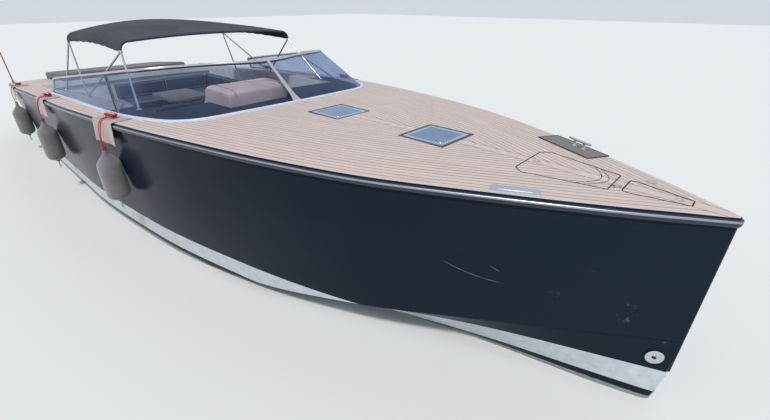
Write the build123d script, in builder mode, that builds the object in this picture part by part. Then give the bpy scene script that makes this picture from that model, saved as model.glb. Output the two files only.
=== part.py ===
from build123d import *
import os
from collections import namedtuple
from math import atan2, cos, pi, sin

# Speedboat: a plumb-bowed open day cruiser with a teak deck, a low wrapped windshield,
# a canvas sun top and two outdrives under its swim platform.
# Millimetres, +X to the bow, +Y to port, +Z up.
# The origin is on the centreline at the waterline, halfway along the boat.

os.makedirs("parts", exist_ok=True)

# Overall sizes
LENGTH = 12000.0  # stem to the platform's aft edge
BEAM = 3500.0
PLATFORM_LENGTH = 815.0
DECK_LENGTH = LENGTH - PLATFORM_LENGTH
STEM_X = LENGTH / 2
TRANSOM_X = STEM_X - DECK_LENGTH
HALF_BEAM = BEAM / 2
FIT = 0.3  # clearance between pieces that seat on each other

# Hull lines, one row a station from the stem to the transom.
# aft is a share of the deck length, the half-breadths are shares of half the beam.
Station = namedtuple("Station", "aft deck_y sheer_z chine_y chine_z knuckle_y knuckle_z keel_z")
LINES = [
    Station(0.0000, 0.007, 1450, 0.007, 560, 0.007, 420, 290),
    Station(0.0036, 0.022, 1451, 0.018, 557, 0.021, 60, -20),
    Station(0.0134, 0.062, 1453, 0.050, 550, 0.041, 40, -230),
    Station(0.0400, 0.168, 1457, 0.136, 515, 0.083, 0, -420),
    Station(0.1000, 0.374, 1463, 0.314, 415, 0.171, 0, -560),
    Station(0.1800, 0.602, 1464, 0.533, 285, 0.309, 0, -640),
    Station(0.2800, 0.774, 1453, 0.697, 95, 0.457, -110, -670),
    Station(0.4200, 0.926, 1417, 0.847, -10, 0.617, -190, -660),
    Station(0.5800, 0.996, 1344, 0.917, -50, 0.686, -215, -640),
    Station(0.7900, 1.000, 1198, 0.920, -60, 0.703, -210, -600),
    Station(1.0000, 0.928, 994, 0.857, -60, 0.657, -190, -540),
]
CAMBER = 0.020  # rise of the deck's crown, as a share of the half-breadth
DECK_THICK = 60.0

# Places along the boat, measured aft from the stem
LOCKER_FORE = 620.0
LOCKER_AFT = 1180.0
ROLLER_FORE = 210.0
ROLLER_AFT = 555.0
HATCHES = {"forward_hatch": 1976.0, "aft_hatch": 3158.0}
CABIN_FORE = 1650.0
CABIN_AFT = 4350.0
LANDING_FORE = 3550.0  # the well inside the cabin door
BERTH_AFT = 3480.0
COCKPIT_FORE = 4410.0
DASH_AFT = 4640.0
ENGINE_BAY = 2130.0  # from the engine bulkhead to the transom's outer face
TRANSOM_THICK = 130.0
BULKHEAD = 60.0
COCKPIT_AFT = DECK_LENGTH - ENGINE_BAY - BULKHEAD

# Heights above the waterline
SOLE_Z = 350.0
BERTH_Z = 430.0
WELL_Z = -60.0
BAY_Z = -120.0
SOLE_THICK = 25.0

# Rub rail
RAIL_PROUD = 20.0
RAIL_HEIGHT = 48.0
RAIL_DROP = 10.0

# Deck hatches, flush and square
HATCH_SIZE = 448.0
HATCH_RIM = 24.0
HATCH_LID_RIM = 34.0
HATCH_DEEP = 60.0
HATCH_LID_THICK = 18.0
GLASS_THICK = 8.0
LID_GAP = 5.0
LEDGE = 22.0

# Windshield: base and top of the glass, one row a post: aft, half-breadth, top aft,
# top half-breadth, top height. The base stands on the deck.
Post = namedtuple("Post", "aft y top_aft top_y top_z")
POSTS = [
    Post(3840, 0, 4350, 0, 1855),
    Post(3868, 600, 4590, 600, 1850),
    Post(3950, 1050, 4735, 1020, 1845),
    Post(4120, 1240, 4850, 1180, 1832),
    Post(4480, 1380, 5160, 1245, 1795),
    Post(4900, 1470, 5600, 1310, 1735),
    Post(5700, 1520, 6350, 1395, 1638),
    Post(7400, 1550, 7400, 1490, 1500),
]
SIDE_POST = 5  # the row where the front pane meets the side pane
TRIM_HEIGHT = 26.0
TRIM_WIDTH = 46.0
SHIELD_RAIL_RADIUS = 15.0
GLASS_FOOT = TRIM_HEIGHT + 6.0

# Sun top
BOW_TUBE_RADIUS = 12.5
Bow = namedtuple("Bow", "aft half_width edge_z crown_z")
SUN_BOWS = [Bow(5500, 1110, 1955, 2095), Bow(6500, 1130, 1965, 2170), Bow(7530, 1150, 1950, 2180)]
CANVAS_THICK = 8.0
BOW_SHOULDER = 100.0
STAY_RADIUS = 11.0
STAY_FEET = [4960.0, 6480.0, 7620.0]
STAY_FOOT_INSET = 395.0  # from the deck edge

# Cockpit plan: inset of the opening from the deck edge
SIDE_DECK_FORE = 440.0
SIDE_DECK_AFT = 310.0
SIDE_DECK_STEP = 7450.0
SIDE_DECK_TAPER = 260.0

# Outdrives
DRIVE_Y = 620.0
DRIVE_PIVOT_Z = 60.0
PROP_AXIS_Z = -610.0
DRIVE_PIVOT_BACK = 150.0  # pivots aft of the transom
PROP_RADIUS = {"front": 205.0, "rear": 195.0}
PROP_BLADES = {"front": 3, "rear": 4}
HUB_RADIUS = 58.0
PLATFORM_Z = 430.0
PLATFORM_THICK = 60.0


def x_at(aft):
    return STEM_X - aft


def line(aft, name):
    """A hull line's value at a distance aft of the stem."""
    share = min(max(aft / DECK_LENGTH, 0.0), 1.0)
    for fore, back in zip(LINES, LINES[1:]):
        if share <= back.aft:
            part = (share - fore.aft) / (back.aft - fore.aft)
            return getattr(fore, name) + part * (getattr(back, name) - getattr(fore, name))
    return getattr(LINES[-1], name)


def deck_y(aft):
    return line(aft, "deck_y") * HALF_BEAM


def deck_z(aft, y=0.0):
    """The height of the deck's top."""
    edge = deck_y(aft)
    share = min(abs(y) / edge, 1.0)
    crown = CAMBER * edge
    rise = 1.0 - 0.5 * share if share < 0.5 else 1.5 * (1.0 - share)
    return line(aft, "sheer_z") + crown * rise


def side_y(aft, z):
    """The half-breadth of the topside at a height between the chine and the deck's underside."""
    low_y, low_z = line(aft, "chine_y") * HALF_BEAM, line(aft, "chine_z")
    share = (z - low_z) / (line(aft, "sheer_z") - DECK_THICK - low_z)
    return low_y + share * (deck_y(aft) - low_y)


def both_sides(points):
    """A closed outline from its port half, which runs from the crown to the keel."""
    port = list(points)
    starboard = [(-y, z) for y, z in reversed(port) if y > 0]
    return port + starboard


def deck_top(row, drop=0.0):
    edge = row.deck_y * HALF_BEAM
    crown = CAMBER * edge
    return [
        (0, row.sheer_z + crown - drop),
        (edge / 2, row.sheer_z + 0.75 * crown - drop),
        (edge, row.sheer_z - drop),
    ]


def plan(points):
    """A closed outline seen from above, from its port half, given as (aft, half-breadth)."""
    port = [(x_at(aft), y) for aft, y in points]
    starboard = [(x, -y) for x, y in reversed(port) if y > 0]
    return port + starboard


def cockpit_inset(aft):
    share = min(max((aft - SIDE_DECK_STEP) / SIDE_DECK_TAPER, 0.0), 1.0)
    return SIDE_DECK_FORE + share * (SIDE_DECK_AFT - SIDE_DECK_FORE)


def cockpit_y(aft):
    return deck_y(aft) - cockpit_inset(aft)


def cockpit_plan(fore, back, inset=0.0):
    """The cockpit's outline between two places along the boat."""
    knots = [row.aft * DECK_LENGTH for row in LINES] + [SIDE_DECK_STEP, SIDE_DECK_STEP + SIDE_DECK_TAPER]
    places = [fore] + sorted(k for k in knots if fore < k < back) + [back]
    return plan([(aft, cockpit_y(aft) - inset) for aft in places])


# The hull's outer form and the deck's form, which later pieces are cut from
with BuildPart() as hull_form:
    for row in LINES:
        with BuildSketch(Plane.YZ.offset(x_at(row.aft * DECK_LENGTH))):
            with BuildLine():
                side = deck_top(row, DECK_THICK)
                side.append((row.chine_y * HALF_BEAM, row.chine_z))
                side.append((row.knuckle_y * HALF_BEAM, row.knuckle_z))
                side.append((0, row.keel_z))
                Polyline(*both_sides(side), close=True)
            make_face()
    loft(ruled=True)

with BuildPart() as deck_form:
    for row in LINES:
        with BuildSketch(Plane.YZ.offset(x_at(row.aft * DECK_LENGTH))):
            with BuildLine():
                top = deck_top(row)
                bottom = deck_top(row, DECK_THICK)
                port = top + bottom[::-1]
                starboard = [(-y, z) for y, z in (bottom[1:] + top[:0:-1])]
                Polyline(*port, *starboard, close=True)
            make_face()
    loft(ruled=True)

CABIN_KNOTS = [row.aft * DECK_LENGTH for row in LINES if CABIN_FORE < row.aft * DECK_LENGTH < CABIN_AFT]
DECK_HIGH = 1600.0  # above every part of the deck
LOW = -1000.0

# Lid outlines on the foredeck, port halves as (aft, half-breadth)
LOCKER_LID = [(LOCKER_FORE, 140.0), (LOCKER_AFT - 60, 250.0), (LOCKER_AFT, 195.0)]
ROLLER_LID = [(ROLLER_FORE, 42.0), (ROLLER_AFT - 30, 108.0), (ROLLER_AFT, 92.0)]
LOCKER_DEEP = 380.0
ROLLER_DEEP = 260.0

# Towing eye through the stem
EYE_AFT = 100.0
EYE_Z = 400.0
EYE_PLATE = 55.0
EYE_PLATE_THICK = 6.0
EYE_BORE = 13.0
EYE_TUBE = 19.0

# Companionway: a door to port of the helm
DOOR_LOW_Y = 330.0
DOOR_WIDTH = 540.0
DOOR_TOP = 1330.0
DOOR_THICK = 28.0


def shrunk(outline, by):
    """A lid's outline moved in by a margin."""
    first, last = outline[0][0], outline[-1][0]
    moved = []
    for aft, y in outline:
        shift = by if aft == first else (-by if aft == last else 0.0)
        moved.append((aft + shift, y - by))
    return moved


with BuildPart() as hull:
    add(hull_form.part)
    # cabin over the berth, with its foot well and the companionway
    with BuildSketch(Plane.XY.offset(BERTH_Z)):
        with BuildLine():
            sides = [CABIN_FORE] + CABIN_KNOTS + [CABIN_AFT]
            Polyline(*plan([(a, line(a, "chine_y") * HALF_BEAM - 70) for a in sides]), close=True)
        make_face()
    extrude(amount=DECK_HIGH - BERTH_Z, mode=Mode.SUBTRACT)
    with BuildSketch(Plane.XY.offset(WELL_Z)):
        with Locations((x_at((LANDING_FORE + CABIN_AFT) / 2), (DOOR_LOW_Y + DOOR_WIDTH) / 2)):
            Rectangle(CABIN_AFT - LANDING_FORE, DOOR_LOW_Y + DOOR_WIDTH)
    extrude(amount=BERTH_Z - WELL_Z + 10, mode=Mode.SUBTRACT)
    with BuildSketch(Plane.XY.offset(SOLE_Z)):
        with Locations((x_at((CABIN_AFT + COCKPIT_FORE) / 2), DOOR_LOW_Y + DOOR_WIDTH / 2)):
            Rectangle(COCKPIT_FORE - CABIN_AFT + 40, DOOR_WIDTH)
    extrude(amount=DOOR_TOP - SOLE_Z, mode=Mode.SUBTRACT)
    # cockpit
    with BuildSketch(Plane.XY.offset(SOLE_Z - SOLE_THICK)):
        with BuildLine():
            Polyline(*cockpit_plan(COCKPIT_FORE, COCKPIT_AFT), close=True)
        make_face()
    extrude(amount=DECK_HIGH - SOLE_Z, mode=Mode.SUBTRACT)
    # engine bay
    bay_fore, bay_aft = COCKPIT_AFT + BULKHEAD, DECK_LENGTH - TRANSOM_THICK
    with BuildSketch(Plane.XY.offset(BAY_Z)):
        with BuildLine():
            Polyline(*plan([(bay_fore, 1080), (bay_aft, 1080)]), close=True)
        make_face()
    extrude(amount=DECK_HIGH - BAY_Z, mode=Mode.SUBTRACT)
    # lockers under the two foredeck lids
    for outline, deep in ((LOCKER_LID, LOCKER_DEEP), (ROLLER_LID, ROLLER_DEEP)):
        with BuildSketch(Plane.XY.offset(deck_z(outline[0][0]) - deep)):
            with BuildLine():
                Polyline(*plan(shrunk(outline, LEDGE)), close=True)
            make_face()
        extrude(amount=deep + 100, mode=Mode.SUBTRACT)
    with Locations((x_at(EYE_AFT), 0, EYE_Z)):
        Cylinder(EYE_TUBE, 400, rotation=(90, 0, 0), mode=Mode.SUBTRACT)

# Engine hatch: the sun pad's base, over the engine bay
HATCH_BAY_MARGIN = 70.0
BAY_HATCH_Y = 1120.0
bay_hatch_fore = bay_fore + HATCH_BAY_MARGIN
bay_hatch_aft = DECK_LENGTH - TRANSOM_THICK - 60

with BuildPart() as deck:
    add(deck_form.part)
    with BuildSketch(Plane.XY.offset(LOW)):
        with BuildLine():
            Polyline(*cockpit_plan(DASH_AFT, COCKPIT_AFT - 30), close=True)
        make_face()
    extrude(amount=DECK_HIGH - LOW, mode=Mode.SUBTRACT)
    with BuildSketch(Plane.XY.offset(LOW)):
        with BuildLine():
            Polyline(*plan([(bay_hatch_fore, BAY_HATCH_Y), (bay_hatch_aft, BAY_HATCH_Y)]), close=True)
        make_face()
    extrude(amount=DECK_HIGH - LOW, mode=Mode.SUBTRACT)
    for outline in (LOCKER_LID, ROLLER_LID):
        with BuildSketch(Plane.XY.offset(LOW)):
            with BuildLine():
                Polyline(*plan(outline), close=True)
            make_face()
        extrude(amount=DECK_HIGH - LOW, mode=Mode.SUBTRACT)
    for aft in HATCHES.values():
        with BuildSketch(Plane.XY.offset(LOW)):
            with Locations((x_at(aft), 0)):
                Rectangle(HATCH_SIZE + 2 * FIT, HATCH_SIZE + 2 * FIT)
        extrude(amount=DECK_HIGH - LOW, mode=Mode.SUBTRACT)

# Foredeck lids: cut from the deck's form, their ends bevelled below so that they swing
LID_BEVELS = {"hinge": (8.0, 80.0), "free": (22.0, 16.0)}  # height of the upright face, run below it
foredeck_lids = {}
# outline, places of the hinge edge and of the free edge
for name, outline, hinge_aft, free_aft in (
    ("anchor_locker_lid", LOCKER_LID, LOCKER_FORE + LID_GAP, LOCKER_AFT - LID_GAP),
    ("bow_roller_lid", ROLLER_LID, ROLLER_AFT - LID_GAP, ROLLER_FORE + LID_GAP),
):
    inward = 1 if free_aft < hinge_aft else -1
    with BuildPart() as lid:
        add(deck_form.part)
        with BuildSketch(Plane.XY.offset(LOW)):
            with BuildLine():
                Polyline(*plan(shrunk(outline, LID_GAP)), close=True)
            make_face()
        extrude(amount=DECK_HIGH - LOW, mode=Mode.INTERSECT)
        for edge, aft, way in (("hinge", hinge_aft, inward), ("free", free_aft, -inward)):
            upright, run = LID_BEVELS[edge]
            edge_x, bevel_z = x_at(aft), deck_z(aft) - upright
            with BuildSketch(Plane.XZ.offset(-HALF_BEAM)):
                with BuildLine():
                    Polyline(
                        (edge_x - way * 10, bevel_z),
                        (edge_x, bevel_z),
                        (edge_x + way * run, bevel_z - DECK_THICK),
                        (edge_x - way * 10, bevel_z - DECK_THICK),
                        close=True,
                    )
                make_face()
            extrude(amount=BEAM, mode=Mode.SUBTRACT)
    foredeck_lids[name] = lid.part

# Rub rail round the sheer, both sides and the stem in one
with BuildPart() as rub_rail:
    for row in LINES:
        edge, top_z = row.deck_y * HALF_BEAM, row.sheer_z - RAIL_DROP
        with BuildSketch(Plane.YZ.offset(x_at(row.aft * DECK_LENGTH))):
            with Locations((edge + RAIL_PROUD / 2, top_z - RAIL_HEIGHT / 2)):
                Rectangle(RAIL_PROUD, RAIL_HEIGHT)
    loft(ruled=True)
    mirror(about=Plane.XZ)
    nose_y = LINES[0].deck_y * HALF_BEAM + RAIL_PROUD
    with BuildSketch(Plane.XY.offset(LINES[0].sheer_z - RAIL_DROP - RAIL_HEIGHT)):
        with BuildLine():
            Polyline(
                (STEM_X, nose_y),
                (STEM_X + RAIL_PROUD, nose_y / 2),
                (STEM_X + RAIL_PROUD, -nose_y / 2),
                (STEM_X, -nose_y),
                close=True,
            )
        make_face()
    extrude(amount=RAIL_HEIGHT)

# Deck hatches: a flush frame, a lid ring hinged at its aft edge and its smoked pane
hatch_frames, hatch_lids, hatch_panes = {}, {}, {}
for name, aft in HATCHES.items():
    top_z = deck_z(aft) + 2
    lid_size = HATCH_SIZE - 2 * HATCH_RIM - 2 * LID_GAP
    with BuildPart() as frame:
        with BuildSketch(Plane.XY.offset(top_z)):
            with Locations((x_at(aft), 0)):
                RectangleRounded(HATCH_SIZE, HATCH_SIZE, 12)
                hole = HATCH_SIZE - 2 * HATCH_RIM
                RectangleRounded(hole, hole, 10, mode=Mode.SUBTRACT)
        extrude(amount=-HATCH_LID_THICK - FIT)
        with BuildSketch(Plane.XY.offset(top_z - HATCH_LID_THICK - FIT)):
            with Locations((x_at(aft), 0)):
                RectangleRounded(HATCH_SIZE, HATCH_SIZE, 12)
                RectangleRounded(lid_size - 2 * LEDGE, lid_size - 2 * LEDGE, 10, mode=Mode.SUBTRACT)
        extrude(amount=-(HATCH_DEEP - HATCH_LID_THICK))
    with BuildPart() as lid:
        with BuildSketch(Plane.XY.offset(top_z)):
            with Locations((x_at(aft), 0)):
                RectangleRounded(lid_size, lid_size, 8)
                Rectangle(lid_size - 2 * HATCH_LID_RIM, lid_size - 2 * HATCH_LID_RIM, mode=Mode.SUBTRACT)
        extrude(amount=-HATCH_LID_THICK)
        # bevel below the hinge, and the grip at the opposite edge
        hinge_x = x_at(aft) - lid_size / 2
        with BuildSketch(Plane.XZ.offset(-HATCH_SIZE / 2)):
            with BuildLine():
                Polyline(
                    (hinge_x - 5, top_z - 4),
                    (hinge_x, top_z - 4),
                    (hinge_x + HATCH_LID_THICK, top_z - 4 - HATCH_LID_THICK),
                    (hinge_x - 5, top_z - 4 - HATCH_LID_THICK),
                    close=True,
                )
            make_face()
        extrude(amount=HATCH_SIZE, mode=Mode.SUBTRACT)
    with BuildPart() as pane:
        with BuildSketch(Plane.XY.offset(top_z - 1)):
            with Locations((x_at(aft), 0)):
                Rectangle(lid_size - 2 * HATCH_LID_RIM, lid_size - 2 * HATCH_LID_RIM)
        extrude(amount=-GLASS_THICK)
    hatch_frames[name], hatch_lids[name], hatch_panes[name] = frame.part, lid.part, pane.part


def shield_points():
    """Base and top of the glass at each post, from the port aft end round the bow side to starboard."""
    port = []
    for post in reversed(POSTS):
        base = Vector(x_at(post.aft), post.y, deck_z(post.aft, post.y))
        port.append((base, Vector(x_at(post.top_aft), post.top_y, post.top_z)))
    starboard = [(Vector(b.X, -b.Y, b.Z), Vector(t.X, -t.Y, t.Z)) for b, t in port[-2::-1]]
    return port + starboard


SHIELD = shield_points()


def along(points, index):
    """The direction of travel at one of a list of points."""
    before, after = points[max(index - 1, 0)], points[min(index + 1, len(points) - 1)]
    return (after - before).normalized()


def pane_plane(index):
    """The plane across the glass at a post: local x up the glass, local y through it."""
    base, top = SHIELD[index]
    up = (top - base).normalized()
    way = along([b for b, _ in SHIELD], index)
    return Plane(origin=base, x_dir=up, z_dir=(way - up * way.dot(up)).normalized())


GLASS_SINK = 10.0  # into the trim
PANE_GAP = 4.0  # between the front panes, at the centre mullion
PORT_JOINT = len(POSTS) - 1 - SIDE_POST
CENTRE = len(POSTS) - 1
STARBOARD_JOINT = CENTRE + SIDE_POST
LAST = len(SHIELD) - 1


def pane_sections(first, last, centre_shift=0.0):
    """Each post's plane across the glass with the pane's height there."""
    sections = []
    for index in range(first, last + 1):
        base, top = SHIELD[index]
        shift = centre_shift if index == CENTRE else 0.0
        tall = (top - base).length - SHIELD_RAIL_RADIUS - GLASS_SINK
        sections.append((pane_plane(index).offset(shift), tall))
    return sections


with BuildPart() as windshield_glass:
    for first, last, shift in ((PORT_JOINT, CENTRE, -PANE_GAP / 2), (CENTRE, STARBOARD_JOINT, PANE_GAP / 2)):
        for plane, tall in pane_sections(first, last, shift):
            with BuildSketch(plane):
                with Locations((GLASS_SINK + tall / 2, 0)):
                    Rectangle(tall, GLASS_THICK)
        loft(ruled=True)
    add(deck_form.part, mode=Mode.SUBTRACT)

with BuildPart() as side_glass:
    for first, last in ((0, PORT_JOINT), (STARBOARD_JOINT, LAST)):
        for plane, tall in pane_sections(first, last):
            with BuildSketch(plane):
                with Locations((GLASS_SINK + tall / 2, 0)):
                    Rectangle(tall, GLASS_THICK)
        loft(ruled=True)
    add(deck_form.part, mode=Mode.SUBTRACT)


def trim_points():
    """The trim's line on the deck: the glass's foot, with a point at each knee of the deck."""
    knees = [row.aft * DECK_LENGTH for row in LINES]
    port = [(POSTS[0].aft, POSTS[0].y)]
    for fore, back in zip(POSTS, POSTS[1:]):
        for knee in knees:
            if fore.aft + TRIM_WIDTH < knee < back.aft - TRIM_WIDTH:
                share = (knee - fore.aft) / (back.aft - fore.aft)
                port.append((knee, fore.y + share * (back.y - fore.y)))
        port.append((back.aft, back.y))
    port.reverse()
    line_points = port + [(aft, -y) for aft, y in port[-2::-1]]
    return [Vector(x_at(aft), y, deck_z(aft, y)) for aft, y in line_points]


TRIM_LINE = trim_points()
with BuildPart() as windshield_trim:
    for index, base in enumerate(TRIM_LINE):
        way = along([Vector(point.X, point.Y, 0) for point in TRIM_LINE], index)
        with BuildSketch(Plane(origin=base, x_dir=Vector(0, 0, 1).cross(way), z_dir=way)):
            with Locations((0, TRIM_HEIGHT / 2 - 5)):
                Rectangle(TRIM_WIDTH, TRIM_HEIGHT + 10)
    loft(ruled=True)
    for cutter in (deck_form, windshield_glass, side_glass):
        add(cutter.part, mode=Mode.SUBTRACT)

with BuildPart() as windshield_frame:
    with BuildLine() as rail_path:
        Polyline(*[top for _, top in SHIELD])
    with BuildSketch(Plane(origin=rail_path.line @ 0, z_dir=rail_path.line % 0)):
        Circle(SHIELD_RAIL_RADIUS)
    sweep(transition=Transition.RIGHT)
    # centre mullion, wide at its foot
    base, top = SHIELD[CENTRE]
    up = (top - base).normalized()
    outward = Vector(0, 1, 0).cross(up)
    tall = (top - base).length
    with BuildSketch(Plane(origin=base + outward * (GLASS_THICK / 2 + FIT), x_dir=(0, 1, 0), z_dir=outward)):
        with BuildLine():
            Polyline((-58, 0), (58, 0), (26, 130), (19, tall), (-19, tall), (-26, 130), close=True)
        make_face()
    extrude(amount=12)
    # side mullions and aft posts, inside the glass
    for index, wide in ((PORT_JOINT, 30), (STARBOARD_JOINT, 30), (0, 26), (LAST, 26)):
        base, top = SHIELD[index]
        tall = (top - base).length
        plane = pane_plane(index)
        inward = -1 if plane.y_dir.Y * base.Y > 0 else 1
        with BuildSketch(plane):
            with Locations((tall / 2, inward * (GLASS_THICK / 2 + FIT + 6))):
                Rectangle(tall, 12)
        extrude(amount=wide / 2, both=True)
    for cutter in (deck_form, windshield_trim, windshield_glass, side_glass):
        add(cutter.part, mode=Mode.SUBTRACT)


def bow_points(bow, out):
    """The foot, shoulder, meeting and crown points of a bow's curve, moved out from its centreline."""
    radius = BOW_SHOULDER + out
    half, rise = bow.half_width + out, bow.crown_z + out - bow.edge_z
    depth = ((half - radius) ** 2 - (rise - radius) ** 2) / (2 * (rise - radius))
    turn = atan2(depth, half - radius)
    foot = (half, bow.edge_z)
    shoulder = [(half - radius + radius * cos(a), bow.edge_z + radius * sin(a)) for a in (turn / 2, turn)]
    return foot, shoulder[0], shoulder[1], (0, bow.edge_z + rise)


def flip(point):
    return (-point[0], point[1])


def stay_foot(aft, side):
    y = deck_y(aft) - STAY_FOOT_INSET
    return Vector(x_at(aft), side * y, deck_z(aft, y))


with BuildPart() as sun_top_frame:
    for bow in (SUN_BOWS[0], SUN_BOWS[-1]):
        plane = Plane.YZ.offset(x_at(bow.aft))
        foot, middle, meet, crown = bow_points(bow, 0)
        with BuildLine(plane) as curve:
            ThreePointArc(foot, middle, meet)
            ThreePointArc(meet, crown, flip(meet))
            ThreePointArc(flip(meet), flip(middle), flip(foot))
        with BuildSketch(Plane(origin=curve.wires()[0] @ 0, z_dir=curve.wires()[0] % 0)):
            Circle(BOW_TUBE_RADIUS)
        sweep(path=curve.wires()[0])
    # stays zigzag from the coaming up to the bows' feet, with an eye plate under each
    for side in (1, -1):
        feet = [stay_foot(aft, side) for aft in STAY_FEET]
        heads = [Vector(x_at(b.aft), side * b.half_width, b.edge_z) for b in (SUN_BOWS[0], SUN_BOWS[-1])]
        for low, high in ((0, 0), (1, 0), (1, 1), (2, 1)):
            start = feet[low] + Vector(0, 0, 6)
            run = heads[high] - start
            with BuildSketch(Plane(origin=start, z_dir=run)):
                Circle(STAY_RADIUS)
            extrude(amount=run.length)
        for head in heads:
            with Locations(head):
                Sphere(BOW_TUBE_RADIUS)
        for foot in feet:
            with BuildSketch(Plane.XY.offset(foot.Z - 4)):
                with Locations((foot.X, foot.Y)):
                    RectangleRounded(90, 44, 10)
            extrude(amount=16)
    add(deck_form.part, mode=Mode.SUBTRACT)

with BuildPart() as sun_top_canvas:
    inner, outer = BOW_TUBE_RADIUS + FIT, BOW_TUBE_RADIUS + FIT + CANVAS_THICK
    for bow in SUN_BOWS:
        with BuildSketch(Plane.YZ.offset(x_at(bow.aft))):
            with BuildLine():
                for out in (inner, outer):
                    foot, middle, meet, crown = bow_points(bow, out)
                    ThreePointArc(foot, middle, meet)
                    ThreePointArc(meet, crown, flip(meet))
                    ThreePointArc(flip(meet), flip(middle), flip(foot))
                for sign in (1, -1):
                    Line(
                        (sign * (bow.half_width + inner), bow.edge_z),
                        (sign * (bow.half_width + outer), bow.edge_z),
                    )
            make_face()
    loft(ruled=True)

# Cockpit sole, from the bulkhead to the engine bay
with BuildPart() as cockpit_sole:
    with BuildSketch(Plane.XY.offset(SOLE_Z - SOLE_THICK)):
        with BuildLine():
            Polyline(*cockpit_plan(COCKPIT_FORE, COCKPIT_AFT), close=True)
        make_face()
    extrude(amount=SOLE_THICK)

# Helm: console, upholstered pod over the dash, instrument panel, wheel and levers
HELM_Y = -240.0
POD_WIDTH = 760.0
CONSOLE_PORT_Y = 250.0
CONSOLE_AFT = 4800.0
PANEL_TOP = (4700.0, 1590.0)
PANEL_FOOT = (4815.0, 1390.0)
WHEEL_RADIUS = 180.0
WHEEL_RIM = 14.0
WHEEL_CENTRE = Vector(x_at(5000), HELM_Y, 1300)
WHEEL_TILT = 25.0

with BuildPart() as helm_console:
    with BuildSketch(Plane.XZ.offset(-CONSOLE_PORT_Y)):
        with BuildLine():
            Polyline(
                (x_at(COCKPIT_FORE) - FIT, SOLE_Z),
                (x_at(COCKPIT_FORE) - FIT, DECK_HIGH),
                (x_at(CONSOLE_AFT + 30), DECK_HIGH),
                (x_at(CONSOLE_AFT + 30), 1310),
                (x_at(CONSOLE_AFT - 60), 1080),
                (x_at(CONSOLE_AFT - 60), SOLE_Z),
                close=True,
            )
        make_face()
    extrude(amount=CONSOLE_PORT_Y + cockpit_y(COCKPIT_FORE) - 20)
    add(hull_form.part, mode=Mode.INTERSECT)

with BuildPart() as helm_pod:
    pod_nose = [(x_at(4160), 1425), (x_at(4172), 1588), (x_at(4215), 1612)]
    pod_back = [(x_at(PANEL_TOP[0]), PANEL_TOP[1] + 25), (x_at(PANEL_FOOT[0]), PANEL_FOOT[1])]
    with BuildSketch(Plane.XZ.offset(-(HELM_Y + POD_WIDTH / 2))):
        with BuildLine():
            Polyline(
                *pod_nose,
                (x_at(4560), 1628),
                *pod_back,
                (x_at(PANEL_FOOT[0]), 1340),
                (x_at(DASH_AFT), 1340),
                (x_at(DASH_AFT), 1425),
                close=True,
            )
        make_face()
    extrude(amount=POD_WIDTH)
    fillet(helm_pod.part.edges().filter_by(Axis.X, tolerance=12).group_by(Axis.Z)[-1], 40)
    add(deck.part, mode=Mode.SUBTRACT)
    add(helm_console.part, mode=Mode.SUBTRACT)

# The instrument panel lies on the pod's sloped aft face
pod_top, pod_foot = [Vector(x, 0, z) for x, z in pod_back[:2]]
panel_up = (pod_top - pod_foot).normalized()
panel_out = panel_up.cross(Vector(0, 1, 0))
panel_middle = (pod_top + pod_foot) / 2 + Vector(0, HELM_Y, 0)
with BuildPart() as instrument_panel:
    with BuildSketch(Plane(origin=panel_middle + panel_out * FIT, x_dir=(0, 1, 0), z_dir=panel_out)):
        RectangleRounded(POD_WIDTH - 90, 170, 25)
    extrude(amount=12)

# Compass on the deck at the pod's port end
with BuildPart() as compass:
    compass_y = HELM_Y + POD_WIDTH / 2 - 60
    with BuildSketch(Plane.XY.offset(deck_z(4090, compass_y) - 10)):
        with Locations((x_at(4090), compass_y)):
            Circle(38)
    extrude(amount=34)
    with Locations((x_at(4090), compass_y, deck_z(4090, compass_y) + 52)):
        Sphere(36)
    add(deck_form.part, mode=Mode.SUBTRACT)

wheel_axis = Vector(-cos(WHEEL_TILT * pi / 180), 0, sin(WHEEL_TILT * pi / 180))
wheel_plane = Plane(origin=WHEEL_CENTRE, x_dir=(0, 1, 0), z_dir=wheel_axis)
with BuildPart() as steering_wheel:
    with Locations(wheel_plane):
        Torus(WHEEL_RADIUS - WHEEL_RIM, WHEEL_RIM)
    with BuildSketch(wheel_plane.offset(-14)):
        Circle(38)
    extrude(amount=26)
    with BuildSketch(wheel_plane.offset(-6)):
        with PolarLocations(0, 3, start_angle=90):
            with Locations((WHEEL_RADIUS / 2, 0)):
                Rectangle(WHEEL_RADIUS - WHEEL_RIM, 26)
    extrude(amount=7)
    with BuildSketch(wheel_plane.offset(-14)):
        Circle(17)
    extrude(amount=-60)

with BuildPart() as steering_column:
    with BuildSketch(wheel_plane.offset(-38)):
        Circle(34)
        Circle(17 + FIT, mode=Mode.SUBTRACT)
    extrude(amount=-36.5)
    with BuildSketch(wheel_plane.offset(-74.5)):
        Circle(34)
    extrude(amount=-200)
    add(helm_console.part, mode=Mode.SUBTRACT)

with BuildPart() as throttle_levers:
    lever_y = HELM_Y + 290
    with BuildSketch(Plane.XY.offset(1290)):
        with Locations((x_at(CONSOLE_AFT + 60), lever_y)):
            RectangleRounded(130, 90, 20)
    extrude(amount=70)
    for y in (lever_y - 22, lever_y + 22):
        with BuildSketch(Plane.XY.offset(1355)):
            with Locations((x_at(CONSOLE_AFT + 60), y)):
                Rectangle(26, 12)
        extrude(amount=100)
        with Locations((x_at(CONSOLE_AFT + 60), y, 1462)):
            Cylinder(14, 36, rotation=(90, 0, 0))
    add(helm_console.part, mode=Mode.SUBTRACT)

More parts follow.
